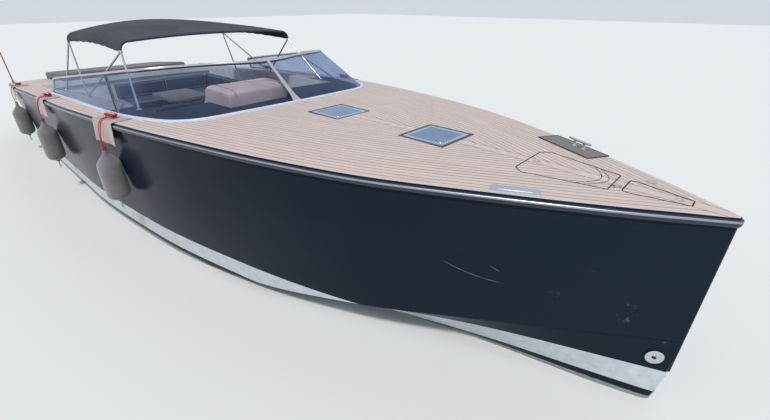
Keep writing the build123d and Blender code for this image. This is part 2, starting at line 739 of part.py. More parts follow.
# Companionway door, hung on two barrel hinges at its port edge
DOOR_LEAF_WIDTH = DOOR_WIDTH - 2 * LID_GAP
DOOR_HINGE_Z = (540.0, 1140.0)
HINGE_PIN = 3.5
HINGE_BARREL = 7.0
HINGE_KNUCKLE = 22.0
HINGE_LEAF = (3.0, 26.0)  # thickness, width
door_pin = (x_at(COCKPIT_FORE) - HINGE_BARREL - 1, DOOR_LOW_Y + DOOR_WIDTH - LID_GAP / 2)
leaf_x = x_at(COCKPIT_FORE) - FIT - HINGE_LEAF[0] / 2
with BuildPart() as companionway_door:
    with BuildSketch(Plane.XY.offset(SOLE_Z + LID_GAP)):
        with Locations((x_at(COCKPIT_FORE) + DOOR_THICK / 2, DOOR_LOW_Y + DOOR_WIDTH / 2)):
            Rectangle(DOOR_THICK, DOOR_LEAF_WIDTH)
    extrude(amount=DOOR_TOP - SOLE_Z - 2 * LID_GAP)
    # bar handle on two stand-offs
    with Locations((x_at(COCKPIT_FORE) - 38, DOOR_LOW_Y + 50, 880)):
        Cylinder(9, 170)
        with Locations((19, 0, 60), (19, 0, -60)):
            Cylinder(6, 40, rotation=(0, 90, 0))
    for z in DOOR_HINGE_Z:
        with Locations((leaf_x, door_pin[1] - HINGE_LEAF[1] / 2, z)):
            Box(HINGE_LEAF[0] + 2 * FIT, HINGE_LEAF[1], HINGE_KNUCKLE - 2 * FIT)
        with Locations((*door_pin, z)):
            Cylinder(HINGE_BARREL, HINGE_KNUCKLE - 2 * FIT)
            Cylinder(HINGE_PIN + FIT, HINGE_KNUCKLE, mode=Mode.SUBTRACT)

with BuildPart() as door_hinges:
    for z in DOOR_HINGE_Z:
        with Locations((*door_pin, z)):
            Cylinder(HINGE_PIN, 3 * HINGE_KNUCKLE)
        for step in (1, -1):
            with Locations((*door_pin, z + step * HINGE_KNUCKLE)):
                Cylinder(HINGE_BARREL, HINGE_KNUCKLE)
            with Locations((leaf_x, door_pin[1] + HINGE_LEAF[1] / 2, z + step * HINGE_KNUCKLE)):
                Box(HINGE_LEAF[0], HINGE_LEAF[1], HINGE_KNUCKLE)

# Step below the door, in the cabin
with BuildPart() as cabin_step:
    with Locations((x_at(CABIN_AFT) + 130, DOOR_LOW_Y + DOOR_WIDTH / 2, (WELL_Z + 150) / 2)):
        Box(260, DOOR_WIDTH, 150 - WELL_Z)

# Cabin berth cushions, a V with the foot well between them
BERTH_THICK = 110.0
with BuildPart() as berth_cushions:
    with BuildSketch(Plane.XY.offset(BERTH_Z + FIT)):
        with BuildLine():
            places = [CABIN_FORE + 30] + CABIN_KNOTS + [BERTH_AFT]
            Polyline(*plan([(a, line(a, "chine_y") * HALF_BEAM - 75) for a in places]), close=True)
        make_face()
    extrude(amount=BERTH_THICK)

# Cockpit furniture: each row is a seat's base and its cushions as boxes of
# aft start, aft end, lower y, upper y, low z, high z
SEAT_Z = 700.0
CUSHION = 130.0
BACK_THICK = 130.0
BACK_TOP = 1180.0
HELM_SEAT_FORE = 5620.0
HELM_SEAT_DEEP = 520.0
HELM_SEAT_WIDTH = 1000.0
LOUNGE_DEEP = 600.0
LOUNGE_FORE = 6350.0
LOUNGE_AFT_DEEP = 640.0


def block(fore, back, low_y, high_y, low_z, high_z):
    """A box between places along the boat, across it and up it, as centre and size."""
    centre = (x_at((fore + back) / 2), (low_y + high_y) / 2, (low_z + high_z) / 2)
    return centre, (back - fore, high_y - low_y, high_z - low_z)


helm_seat_y = (HELM_Y - HELM_SEAT_WIDTH / 2, HELM_Y + HELM_SEAT_WIDTH / 2)
helm_seat_aft = HELM_SEAT_FORE + HELM_SEAT_DEEP
with BuildPart() as helm_seat_base:
    centre, size = block(HELM_SEAT_FORE + 60, helm_seat_aft, *helm_seat_y, SOLE_Z, SEAT_Z + 60)
    with Locations(centre):
        Box(*size)
    centre, size = block(helm_seat_aft - 40, helm_seat_aft, *helm_seat_y, SEAT_Z + 60, BACK_TOP - 60)
    with Locations(centre):
        Box(*size)
    fillet(helm_seat_base.part.edges().filter_by(Axis.Z), 15)

with BuildPart() as helm_seat_cushions:
    seat_low = SEAT_Z + 60 + FIT
    back_aft = helm_seat_aft - 40 - FIT
    back_fore = back_aft - BACK_THICK
    centre, size = block(HELM_SEAT_FORE, back_fore, *helm_seat_y, seat_low, seat_low + CUSHION)
    with Locations(centre):
        Box(*size)
    centre, size = block(back_fore, back_aft, *helm_seat_y, seat_low, BACK_TOP)
    with Locations(centre):
        Box(*size)
    fillet(helm_seat_cushions.part.edges().filter_by(Axis.Y), 30)

# The lounge: an L along the port side and across the aft end
lounge_aft = COCKPIT_AFT - FIT
lounge_edge = cockpit_y(LOUNGE_FORE) - LOUNGE_DEEP
lounge_end_y = -400.0
lounge_knots = sorted((SIDE_DECK_STEP, SIDE_DECK_STEP + SIDE_DECK_TAPER, LINES[8].aft * DECK_LENGTH))


def lounge_plan(inset):
    """The L's outline, moved in from the coaming and the bulkhead."""
    side = [(aft, cockpit_y(aft) - inset) for aft in [LOUNGE_FORE] + lounge_knots + [lounge_aft - inset]]
    outline = [(x_at(aft), y) for aft, y in side]
    outline += [(x_at(lounge_aft - inset), lounge_end_y), (x_at(lounge_aft - LOUNGE_AFT_DEEP), lounge_end_y)]
    outline += [(x_at(lounge_aft - LOUNGE_AFT_DEEP), lounge_edge), (x_at(LOUNGE_FORE), lounge_edge)]
    return outline


with BuildPart() as lounge_base:
    with BuildSketch(Plane.XY.offset(SOLE_Z)):
        with BuildLine():
            Polyline(*lounge_plan(FIT), close=True)
        make_face()
    extrude(amount=SEAT_Z - SOLE_Z)

with BuildPart() as lounge_cushions:
    with BuildSketch(Plane.XY.offset(SEAT_Z + FIT)):
        with BuildLine():
            Polyline(*lounge_plan(6.0), close=True)
        make_face()
    extrude(amount=CUSHION)
    with BuildSketch(Plane.XY.offset(SEAT_Z + FIT + CUSHION)):
        with BuildLine():
            Polyline(*lounge_plan(6.0), close=True)
        make_face()
        with BuildLine():
            inner = lounge_plan(BACK_THICK)
            Polyline(
                (x_at(LOUNGE_FORE - 10), inner[0][1]),
                *inner[1:5],
                (inner[5][0], lounge_end_y - 10),
                (x_at(LOUNGE_FORE - 10), lounge_end_y - 10),
                close=True,
            )
        make_face(mode=Mode.SUBTRACT)
    extrude(amount=250)

# Cockpit table on its pillar
TABLE_AFT = 7450.0
TABLE_Y = 150.0
TABLE_SIZE = (900.0, 620.0)
TABLE_THICK = 32.0
TABLE_RISE = 300.0  # of the top above the seats
TABLE_FOOT = (130.0, 14.0)  # radius, thickness
TABLE_POST = 45.0
table_under = SEAT_Z + TABLE_RISE
with BuildPart() as cockpit_table:
    with BuildSketch(Plane.XY.offset(SOLE_Z)):
        with Locations((x_at(TABLE_AFT), TABLE_Y)):
            Circle(TABLE_FOOT[0])
    extrude(amount=TABLE_FOOT[1])
    with BuildSketch(Plane.XY.offset(SOLE_Z + TABLE_FOOT[1])):
        with Locations((x_at(TABLE_AFT), TABLE_Y)):
            Circle(TABLE_POST)
    extrude(amount=table_under - SOLE_Z - TABLE_FOOT[1])
    with BuildSketch(Plane.XY.offset(table_under)):
        with Locations((x_at(TABLE_AFT), TABLE_Y)):
            RectangleRounded(*TABLE_SIZE, 80)
    extrude(amount=TABLE_THICK)

# Galley unit to starboard, aft of the helm
GALLEY_FORE = 6350.0
GALLEY_AFT = 7400.0
GALLEY_DEEP = 520.0
GALLEY_HIGH = 750.0

with BuildPart() as galley_unit:
    with BuildSketch(Plane.XY.offset(SOLE_Z)):
        with BuildLine():
            places = [GALLEY_FORE, LINES[8].aft * DECK_LENGTH, GALLEY_AFT]
            wall = [(x_at(a), -cockpit_y(a) + FIT) for a in places]
            front = [(x_at(a), -cockpit_y(a) + GALLEY_DEEP) for a in (GALLEY_AFT, GALLEY_FORE)]
            Polyline(*wall, *front, close=True)
        make_face()
    extrude(amount=GALLEY_HIGH)
    fillet(galley_unit.part.edges().filter_by(Axis.Z).group_by(Axis.Y)[-1], 40)

# Engine hatch under the sun pad, hinged at its aft edge
with BuildPart() as engine_hatch:
    add(deck_form.part)
    hatch_y = BAY_HATCH_Y - LID_GAP
    hatch_plan = [(bay_hatch_fore + LID_GAP, hatch_y), (bay_hatch_aft - LID_GAP, hatch_y)]
    with BuildSketch(Plane.XY.offset(LOW)):
        with BuildLine():
            Polyline(*plan(hatch_plan), close=True)
        make_face()
    extrude(amount=DECK_HIGH - LOW, mode=Mode.INTERSECT)
    hinge_x = x_at(bay_hatch_aft - LID_GAP)
    hinge_z = deck_z(bay_hatch_aft - LID_GAP, BAY_HATCH_Y)
    with BuildSketch(Plane.XZ.offset(-HALF_BEAM)):
        with BuildLine():
            Polyline(
                (hinge_x - 10, hinge_z - 4),
                (hinge_x, hinge_z - 4),
                (hinge_x + DECK_THICK + 40, hinge_z - 44 - DECK_THICK),
                (hinge_x - 10, hinge_z - 44 - DECK_THICK),
                close=True,
            )
        make_face()
    extrude(amount=BEAM, mode=Mode.SUBTRACT)

PAD_THICK = 130.0
PAD_MARGIN = 60.0
with BuildPart() as sun_pad:
    pad_fore, pad_aft = bay_hatch_fore + PAD_MARGIN, bay_hatch_aft - PAD_MARGIN - 60
    with BuildSketch(Plane.XZ.offset(-(BAY_HATCH_Y - PAD_MARGIN))):
        with BuildLine():
            Polyline(
                (x_at(pad_fore), deck_z(pad_fore) - 40),
                (x_at(pad_fore), deck_z(pad_fore) + PAD_THICK),
                (x_at(pad_aft), deck_z(pad_aft) + PAD_THICK),
                (x_at(pad_aft), deck_z(pad_aft) - 40),
                close=True,
            )
        make_face()
    extrude(amount=2 * (BAY_HATCH_Y - PAD_MARGIN))
    fillet(sun_pad.part.edges().group_by(Axis.Z)[-1], 30)
    add(deck_form.part, mode=Mode.SUBTRACT)

# Engines as plain blocks on their bearers
ENGINE_SIZE = (1000.0, 700.0, 780.0)
ENGINE_AFT = DECK_LENGTH - 1130.0
with BuildPart() as engines:
    for side in (1, -1):
        with Locations((x_at(ENGINE_AFT), side * DRIVE_Y, BAY_Z + ENGINE_SIZE[2] / 2)):
            Box(*ENGINE_SIZE)

# Swim platform: a full-width step carried on the transom, with a well for the ladder
PLATFORM_HALF = side_y(DECK_LENGTH, PLATFORM_Z) - 20
LADDER_Y = 820.0
LADDER_WIDTH = 360.0
LADDER_LENGTH = 620.0
LADDER_WELL = 46.0
LADDER_RAIL = 28.0
with BuildPart() as swim_platform:
    with BuildSketch(Plane.XY.offset(PLATFORM_Z - PLATFORM_THICK)):
        with BuildLine():
            Polyline(
                (TRANSOM_X, PLATFORM_HALF),
                (TRANSOM_X - PLATFORM_LENGTH, PLATFORM_HALF - 90),
                (TRANSOM_X - PLATFORM_LENGTH, -PLATFORM_HALF + 90),
                (TRANSOM_X, -PLATFORM_HALF),
                close=True,
            )
        make_face()
        fillet(vertices().group_by(Axis.X)[0], 260)
    extrude(amount=PLATFORM_THICK)
    with BuildSketch(Plane.XY.offset(PLATFORM_Z)):
        with Locations((TRANSOM_X - PLATFORM_LENGTH + LADDER_LENGTH / 2, LADDER_Y)):
            Rectangle(LADDER_LENGTH + 2 * LID_GAP, LADDER_WIDTH + 2 * LID_GAP)
    extrude(amount=-LADDER_WELL, mode=Mode.SUBTRACT)
    # brackets under the platform, on the transom
    for y in (-1150, 0, 1150):
        with BuildSketch(Plane.XZ.offset(-y - 25)):
            with BuildLine():
                low = PLATFORM_Z - PLATFORM_THICK
                Polyline((TRANSOM_X, low), (TRANSOM_X, low - 240), (TRANSOM_X - 480, low), close=True)
            make_face()
        extrude(amount=50)

ladder_hinge = (TRANSOM_X - PLATFORM_LENGTH - 22, PLATFORM_Z - LADDER_RAIL / 2 + 2)
with BuildPart() as swim_ladder:
    rail_y = LADDER_WIDTH / 2 - LADDER_RAIL / 2
    for y in (LADDER_Y - rail_y, LADDER_Y + rail_y):
        with BuildSketch(Plane.XZ.offset(-y - LADDER_RAIL / 2)):
            with Locations((ladder_hinge[0] + LADDER_LENGTH / 2 - 14, ladder_hinge[1])):
                SlotOverall(LADDER_LENGTH, LADDER_RAIL)
        extrude(amount=LADDER_RAIL)
    for step in (150, 360, 570):
        with Locations((ladder_hinge[0] + step, LADDER_Y, ladder_hinge[1])):
            Box(56, 2 * rail_y, 20)
    with BuildSketch(Plane.XZ.offset(-LADDER_Y + LADDER_WIDTH / 2)):
        with Locations(ladder_hinge):
            Circle(6.3)
    extrude(amount=-LADDER_WIDTH, mode=Mode.SUBTRACT)

with BuildPart() as ladder_hinge_pin:
    with BuildSketch(Plane.XZ.offset(-LADDER_Y - LADDER_WIDTH / 2 - 26)):
        with Locations(ladder_hinge):
            Circle(6)
    extrude(amount=LADDER_WIDTH + 52)
    for y in (LADDER_Y - LADDER_WIDTH / 2 - 16, LADDER_Y + LADDER_WIDTH / 2 + 16):
        with BuildSketch(Plane.XZ.offset(-y - 10)):
            with BuildLine():
                x, z = ladder_hinge
                edge = TRANSOM_X - PLATFORM_LENGTH
                Polyline((edge, z + 14), (x - 14, z + 10), (x - 14, z - 10), (edge, z - 30), close=True)
            make_face()
        extrude(amount=20)

# Outdrives: a shield bolted to the transom, a gimbal ring that steers on upright pins,
# and a leg that trims on level pins in the ring. Sizes are measured from the gimbal's centre.
RING_OUT = (340.0, 400.0)
RING_IN = (270.0, 330.0)
RING_THICK = 60.0
PIN_RADIUS = 14.0
SHIELD_THICK = 25.0
SHIELD_SIZE = (330.0, 560.0)
PIN_STAND = 8.0  # from the ring to the lug
YOKE = (240.0, 190.0)
LEG_WIDTH = 96.0
AXIS_DROP = DRIVE_PIVOT_Z - PROP_AXIS_Z
TORPEDO_AFT = -430.0
PROP_LENGTH = 84.0
PROP_GAP = 4.0
SHAFT_RADIUS = 22.0


def drive_centre(side):
    return Vector(TRANSOM_X - DRIVE_PIVOT_BACK, side * DRIVE_Y, DRIVE_PIVOT_Z)


with BuildPart() as shield:
    with BuildSketch(Plane.YZ.offset(DRIVE_PIVOT_BACK - SHIELD_THICK)):
        with Locations((0, 20)):
            RectangleRounded(*SHIELD_SIZE, 60)
    extrude(amount=SHIELD_THICK)
    for sign in (1, -1):
        lug_z = sign * (RING_OUT[1] / 2 + PIN_STAND + 20)
        with Locations((DRIVE_PIVOT_BACK / 2 - 12, 0, lug_z)):
            Box(DRIVE_PIVOT_BACK + 24, 70, 40)
        with Locations((0, 0, sign * (RING_OUT[1] / 2 - 12))):
            Cylinder(PIN_RADIUS, 64)

with BuildPart() as ring:
    with BuildSketch(Plane.YZ.offset(-RING_THICK / 2)):
        RectangleRounded(*RING_OUT, 70)
        RectangleRounded(*RING_IN, 45, mode=Mode.SUBTRACT)
    extrude(amount=RING_THICK)
    with Locations((0, 0, RING_OUT[1] / 2), (0, 0, -RING_OUT[1] / 2)):
        Cylinder(PIN_RADIUS + FIT, 100, mode=Mode.SUBTRACT)
    with Locations((0, RING_OUT[0] / 2, 0), (0, -RING_OUT[0] / 2, 0)):
        Cylinder(PIN_RADIUS + FIT, 100, rotation=(90, 0, 0), mode=Mode.SUBTRACT)

with BuildPart() as leg:
    # yoke inside the ring, with its level pins
    with Locations((0, 0, 0)):
        Box(RING_THICK, *YOKE)
    with Locations((0, RING_OUT[0] / 2 - 34, 0), (0, -RING_OUT[0] / 2 + 34, 0)):
        Cylinder(PIN_RADIUS, 64, rotation=(90, 0, 0))
    # upper gearcase
    with BuildSketch(Plane.XZ.offset(-105)):
        with BuildLine():
            fore_edge = [(-95, -230), (-45, -140), (-30, -95), (-30, 95)]
            Polyline(*fore_edge, (-55, 116), (-330, 110), (-380, 40), (-360, -230), close=True)
        make_face()
    extrude(amount=210)
    fillet(leg.part.edges().filter_by(Axis.Y).group_by(Axis.X)[0], 30)
    # strut, plate, torpedo and skeg
    strut = [(-95, -360, -225), (-110, -370, -435), (-130, -400, -AXIS_DROP)]
    for fore, back, z in strut:
        with BuildSketch(Plane.XY.offset(z)):
            with Locations(((fore + back) / 2, 0)):
                Ellipse((fore - back) / 2, LEG_WIDTH / 2 + (z + AXIS_DROP) * 0.03)
    loft(ruled=True)
    with BuildSketch(Plane.XY.offset(-AXIS_DROP + PROP_RADIUS["front"] + 30)):
        with BuildLine():
            plate_edge = [(-150, 80), (-360, 120), (-600, 105), (-640, 60)]
            other_edge = [(x, -y) for x, y in reversed(plate_edge)]
            Polyline((-80, 0), *plate_edge, *other_edge, close=True)
        make_face()
    extrude(amount=14)
    with BuildSketch(Plane.XZ):
        with BuildLine():
            nose = [(-70, 0), (-80, 26), (-130, 50), (-200, HUB_RADIUS)]
            torpedo = nose + [(TORPEDO_AFT, HUB_RADIUS), (TORPEDO_AFT, 0)]
            Polyline(*[(x, r - AXIS_DROP) for x, r in torpedo], close=True)
        make_face()
    revolve(axis=Axis((0, 0, -AXIS_DROP), (1, 0, 0)))
    with BuildSketch(Plane.XZ.offset(-9)):
        with BuildLine():
            low = -AXIS_DROP - 40
            skeg_foot = [(-405, low - 190), (-330, low - 210), (-290, low - 195)]
            Polyline((-150, low), (-400, low), *skeg_foot, close=True)
        make_face()
    extrude(amount=18)
    # shaft stub for the propellers
    stub = 2 * PROP_LENGTH + 2 * PROP_GAP - 2
    with BuildSketch(Plane.YZ.offset(TORPEDO_AFT - stub)):
        with Locations((0, -AXIS_DROP)):
            Circle(SHAFT_RADIUS)
    extrude(amount=stub + 5)

# A blade's sections from root to tip: radius share, chord, thickness, pitch angle
BLADE = [
    (0.24, 92.0, 16.0, 58.0),
    (0.55, 128.0, 10.0, 38.0),
    (0.85, 112.0, 6.0, 27.0),
    (1.00, 46.0, 4.0, 24.0),
]


def blade_planes(radius, hand):
    """The plane of each blade section, for a blade that points up from an axis along X."""
    planes = []
    for share, chord, thick, pitch in BLADE:
        angle = hand * (90 - pitch) * pi / 180
        chord_way = (cos(angle), sin(angle), 0)
        plane = Plane(origin=(0, 0, share * radius), x_dir=chord_way, z_dir=(0, 0, 1))
        planes.append((plane, chord, thick))
    return planes


propellers = {}
for kind, hand in (("front", 1), ("rear", -1)):
    with BuildPart() as blade:
        for plane, chord, thick in blade_planes(PROP_RADIUS[kind], hand):
            with BuildSketch(plane):
                Ellipse(chord / 2, thick / 2)
        loft(ruled=True)
    with BuildPart() as propeller:
        with BuildSketch(Plane.YZ.offset(-PROP_LENGTH / 2)):
            Circle(HUB_RADIUS if kind == "front" else HUB_RADIUS - 5)
        extrude(amount=PROP_LENGTH)
        for index in range(PROP_BLADES[kind]):
            add(blade.part.rotate(Axis.X, 360 / PROP_BLADES[kind] * index))
        with BuildSketch(Plane.YZ.offset(-PROP_LENGTH)):
            Circle(SHAFT_RADIUS + FIT)
        extrude(amount=2 * PROP_LENGTH, mode=Mode.SUBTRACT)
        if kind == "rear":
            # nut cap behind the shaft's end
            with BuildSketch(Plane.YZ.offset(-PROP_LENGTH / 2 - 26)):
                Circle(30)
            extrude(amount=26, taper=-20)
    propellers[kind] = propeller.part

SIDES = {"port": 1, "starboard": -1}
front_x = TORPEDO_AFT - PROP_GAP - PROP_LENGTH / 2
prop_x = {"front": front_x, "rear": front_x - PROP_LENGTH - PROP_GAP}

# Mooring cleats on flush plates: the forward starboard one is pushed down into its plate
CLEAT_PLACES = [985.0, 4800.0, 7090.0, 9710.0, 10750.0]
CLEAT_INSET = 76.0
CLEAT_PLATE = (290.0, 92.0, 4.0)
CLEAT_HORN = 220.0
CLEAT_HIGH = 52.0
CLEAT_BAR = 9.0


def edge_plane(aft, inset, side):
    """A plane on the deck, turned to follow the deck's edge: local x forward, local z up."""
    ahead, behind = aft - 50, aft + 50
    rise = deck_z(ahead, deck_y(ahead)) - deck_z(behind, deck_y(behind))
    way = Vector(100, side * (deck_y(ahead) - deck_y(behind)), rise)
    y = deck_y(aft) - inset
    across = Vector(0, 0, 1).cross(way).normalized()
    return Plane(origin=(x_at(aft), side * y, deck_z(aft, y)), x_dir=way, z_dir=way.cross(across))


with BuildPart() as mooring_cleats:
    for aft in CLEAT_PLACES:
        with BuildSketch(edge_plane(aft, CLEAT_INSET, -1).offset(-6)):
            RectangleRounded(CLEAT_PLATE[0], CLEAT_PLATE[1], 14)
        extrude(amount=6 + CLEAT_PLATE[2])
    add(deck_form.part, mode=Mode.SUBTRACT)
    mirror(about=Plane.XZ)
    raised = [(CLEAT_PLACES[0], 1)] + [(aft, side) for aft in CLEAT_PLACES[1:] for side in (1, -1)]
    for aft, side in raised:
        plane = edge_plane(aft, CLEAT_INSET, side)
        with BuildSketch(plane.offset(CLEAT_PLATE[2] - 1)):
            with Locations((45, 0), (-45, 0)):
                Circle(11)
        extrude(amount=CLEAT_HIGH - CLEAT_PLATE[2])
        horn_end = plane.origin + plane.z_dir * CLEAT_HIGH - plane.x_dir * (CLEAT_HORN / 2)
        with BuildSketch(Plane(origin=horn_end, z_dir=plane.x_dir)):
            Circle(CLEAT_BAR)
        extrude(amount=CLEAT_HORN)

# Towing eye: a tube through the stem with a round plate on each side
with BuildPart() as bow_eye:
    for side in (1, -1):
        slope_aft = (side_y(EYE_AFT + 10, EYE_Z) - side_y(EYE_AFT - 10, EYE_Z)) / 20
        slope_up = (side_y(EYE_AFT, EYE_Z + 10) - side_y(EYE_AFT, EYE_Z - 10)) / 20
        outward = Vector(slope_aft, side, -slope_up).normalized()
        middle = Vector(x_at(EYE_AFT), side * side_y(EYE_AFT, EYE_Z), EYE_Z)
        with BuildSketch(Plane(origin=middle - outward * 8, z_dir=outward)):
            Circle(EYE_PLATE)
        extrude(amount=8 + EYE_PLATE_THICK)
    add(hull_form.part, mode=Mode.SUBTRACT)
    with Locations((x_at(EYE_AFT), 0, EYE_Z)):
        Cylinder(EYE_TUBE - FIT, 2 * (side_y(EYE_AFT, EYE_Z) + 9), rotation=(90, 0, 0))
        Cylinder(EYE_BORE, 400, rotation=(90, 0, 0), mode=Mode.SUBTRACT)

# Fenders hang at the topside from red lines over a mat on the deck's edge
FENDER_PLACES = [4790.0, 7080.0, 9700.0]
FENDER_RADIUS = 135.0
FENDER_LENGTH = 560.0
FENDER_DROP = 285.0
FENDER_SHOULDER = 125.0  # from the eye's top to the full radius
FENDER_GAP = 0.8
FENDER_EYE = 24.0
LINE_RADIUS = 5.0
MAT_LENGTH = 440.0
MAT_INSIDE = 134.0
MAT_DOWN = 215.0
MAT_THICK = 6.0


def fender_top(aft, side):
    """The centre of a fender's upper end, where it lies against the topside."""
    z = line(aft, "sheer_z") - FENDER_DROP
    return Vector(x_at(aft), side * (side_y(aft, z - FENDER_SHOULDER) + FENDER_RADIUS + FENDER_GAP), z)


with BuildPart() as fenders:
    for aft in FENDER_PLACES:
        for side in (1, -1):
            top = fender_top(aft, side)
            plane = Plane(origin=top, x_dir=(1, 0, 0), z_dir=(0, -1, 0))
            with BuildSketch(plane):
                with BuildLine():
                    Polyline(
                        (0, 0),
                        (FENDER_EYE, 0),
                        (FENDER_EYE + 6, -40),
                        (FENDER_RADIUS - 30, -78),
                        (FENDER_RADIUS, -FENDER_SHOULDER),
                        (FENDER_RADIUS, 85 - FENDER_LENGTH),
                        (FENDER_RADIUS - 40, 40 - FENDER_LENGTH),
                        (FENDER_EYE + 10, 12 - FENDER_LENGTH),
                        (FENDER_EYE, -FENDER_LENGTH),
                        (0, -FENDER_LENGTH),
                        close=True,
                    )
                make_face()
            revolve(axis=Axis((top.X, top.Y, 0), (0, 0, 1)))

with BuildPart() as fender_mats:
    for aft in FENDER_PLACES:
        for side in (1, -1):
            edge = edge_plane(aft, 0.0, side)
            out = RAIL_PROUD + 3
            with BuildSketch(Plane(origin=edge.origin, x_dir=edge.y_dir * side, z_dir=edge.x_dir * side)):
                with BuildLine():
                    Polyline(
                        (-MAT_INSIDE, -2),
                        (-MAT_INSIDE, MAT_THICK),
                        (out + MAT_THICK - 12, MAT_THICK),
                        (out + MAT_THICK, -8),
                        (out + MAT_THICK, -MAT_DOWN),
                        (out, -MAT_DOWN),
                        (out, -12),
                        (out - 10, -2),
                        close=True,
                    )
                make_face()
            extrude(amount=MAT_LENGTH / 2, both=True)
    add(deck_form.part, mode=Mode.SUBTRACT)
    add(rub_rail.part, mode=Mode.SUBTRACT)
    add(mooring_cleats.part, mode=Mode.SUBTRACT)

with BuildPart() as fender_lines:
    for aft in FENDER_PLACES:
        for side in (1, -1):
            top = fender_top(aft, side)
            over = deck_z(aft, deck_y(aft)) + MAT_THICK + LINE_RADIUS + 4
            cleat_y = deck_y(aft) - CLEAT_INSET
            under_horn = deck_z(aft, cleat_y) + CLEAT_HIGH - CLEAT_BAR - LINE_RADIUS - 1
            with BuildLine() as route:
                FilletPolyline(
                    (top.X, side * cleat_y, under_horn),
                    (top.X, top.Y, over),
                    (top.X, top.Y, top.Z + FIT),
                    radius=26,
                )
            with BuildSketch(Plane(origin=route.wires()[0] @ 0, z_dir=route.wires()[0] % 0)):
                Circle(LINE_RADIUS)
            sweep(path=route.wires()[0])

# Ensign staff at the starboard quarter, in a deck socket
STAFF_AFT = 10950.0
STAFF_LENGTH = 620.0
staff_y = -(deck_y(STAFF_AFT) - 60)
staff_base = Vector(x_at(STAFF_AFT), staff_y, deck_z(STAFF_AFT, staff_y))
staff_way = Vector(-sin(20 * pi / 180), 0, cos(20 * pi / 180))
with BuildPart() as ensign_staff:
    with BuildSketch(Plane(origin=staff_base - staff_way * 12, z_dir=staff_way)):
        Circle(22)
    extrude(amount=62)
    with BuildSketch(Plane(origin=staff_base + staff_way * 50, z_dir=staff_way)):
        Circle(11)
    extrude(amount=STAFF_LENGTH)
    add(deck_form.part, mode=Mode.SUBTRACT)

# Foredeck fittings: a flush fairlead and the bow light
# aft, y, radius, height
FOREDECK_FITTINGS = [(590.0, -60.0, 24.0, 14.0), (452.0, 160.0, 28.0, 10.0)]
with BuildPart() as foredeck_fittings:
    for aft, y, radius, high in FOREDECK_FITTINGS:
        with BuildSketch(Plane.XY.offset(deck_z(aft, y) - 8)):
            with Locations((x_at(aft), y)):
                Circle(radius)
        extrude(amount=8 + high)
    add(deck_form.part, mode=Mode.SUBTRACT)

PARTS = {
    "hull": hull.part,
    "deck": deck.part,
    "rub_rail": rub_rail.part,
    **foredeck_lids,
    "windshield_trim": windshield_trim.part,
    "windshield_frame": windshield_frame.part,
    "windshield_glass": windshield_glass.part,
    "side_glass": side_glass.part,
    "sun_top_frame": sun_top_frame.part,
    "sun_top_canvas": sun_top_canvas.part,
    "cockpit_sole": cockpit_sole.part,
    "helm_console": helm_console.part,
    "helm_pod": helm_pod.part,
    "instrument_panel": instrument_panel.part,
    "compass": compass.part,
    "steering_wheel": steering_wheel.part,
    "steering_column": steering_column.part,
    "throttle_levers": throttle_levers.part,
    "companionway_door": companionway_door.part,
    "door_hinges": door_hinges.part,
    "cabin_step": cabin_step.part,
    "berth_cushions": berth_cushions.part,
    "helm_seat_base": helm_seat_base.part,
    "helm_seat_cushions": helm_seat_cushions.part,
    "lounge_base": lounge_base.part,
    "lounge_cushions": lounge_cushions.part,
    "cockpit_table": cockpit_table.part,
    "galley_unit": galley_unit.part,
    "engine_hatch": engine_hatch.part,
    "sun_pad": sun_pad.part,
    "engines": engines.part,
    "swim_platform": swim_platform.part,
    "swim_ladder": swim_ladder.part,
    "ladder_hinge": ladder_hinge_pin.part,
    "mooring_cleats": mooring_cleats.part,
    "bow_eye": bow_eye.part,
    "fenders": fenders.part,
    "fender_mats": fender_mats.part,
    "fender_lines": fender_lines.part,
    "ensign_staff": ensign_staff.part,
    "foredeck_fittings": foredeck_fittings.part,
}
for name in HATCHES:
    PARTS[name + "_frame"] = hatch_frames[name]
    PARTS[name + "_lid"] = hatch_lids[name]
    PARTS[name + "_pane"] = hatch_panes[name]
for name, side in SIDES.items():
    place = Location(drive_centre(side))
    PARTS[name + "_drive_shield"] = shield.part.moved(place)
    PARTS[name + "_gimbal_ring"] = ring.part.moved(place)
    PARTS[name + "_drive_leg"] = leg.part.moved(place)
    for kind, part in propellers.items():
        turned = part if side == 1 else part.mirror(Plane.XZ)
        spot = drive_centre(side) + Vector(prop_x[kind], 0, -AXIS_DROP)
        PARTS[name + "_" + kind + "_propeller"] = turned.moved(Location(spot))

for name, part in PARTS.items():
    part.label = name
    export_step(part, "parts/" + name + ".step")
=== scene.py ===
import math

import bmesh
import bpy
import numpy as np
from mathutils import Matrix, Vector, noise


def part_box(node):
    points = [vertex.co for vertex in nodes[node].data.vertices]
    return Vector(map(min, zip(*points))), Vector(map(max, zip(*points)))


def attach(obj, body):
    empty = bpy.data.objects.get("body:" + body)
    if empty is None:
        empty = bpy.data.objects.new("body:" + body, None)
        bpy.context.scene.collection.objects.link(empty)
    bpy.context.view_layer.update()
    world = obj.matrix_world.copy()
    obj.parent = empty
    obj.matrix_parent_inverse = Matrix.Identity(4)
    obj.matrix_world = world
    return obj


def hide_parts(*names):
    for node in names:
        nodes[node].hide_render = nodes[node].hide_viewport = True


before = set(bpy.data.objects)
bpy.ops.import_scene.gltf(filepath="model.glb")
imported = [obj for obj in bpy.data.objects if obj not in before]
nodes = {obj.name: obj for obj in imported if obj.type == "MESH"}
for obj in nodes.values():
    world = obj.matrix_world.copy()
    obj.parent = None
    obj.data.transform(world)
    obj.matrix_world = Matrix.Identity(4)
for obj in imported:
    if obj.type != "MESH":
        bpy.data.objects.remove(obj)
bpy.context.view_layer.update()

# Hull lines, as in the part's source, in metres: one row a station from the stem to the transom
DECK_LENGTH = 11.185
STEM_X = 6.0
HALF_BEAM = 1.75
DECK_THICK = 0.060
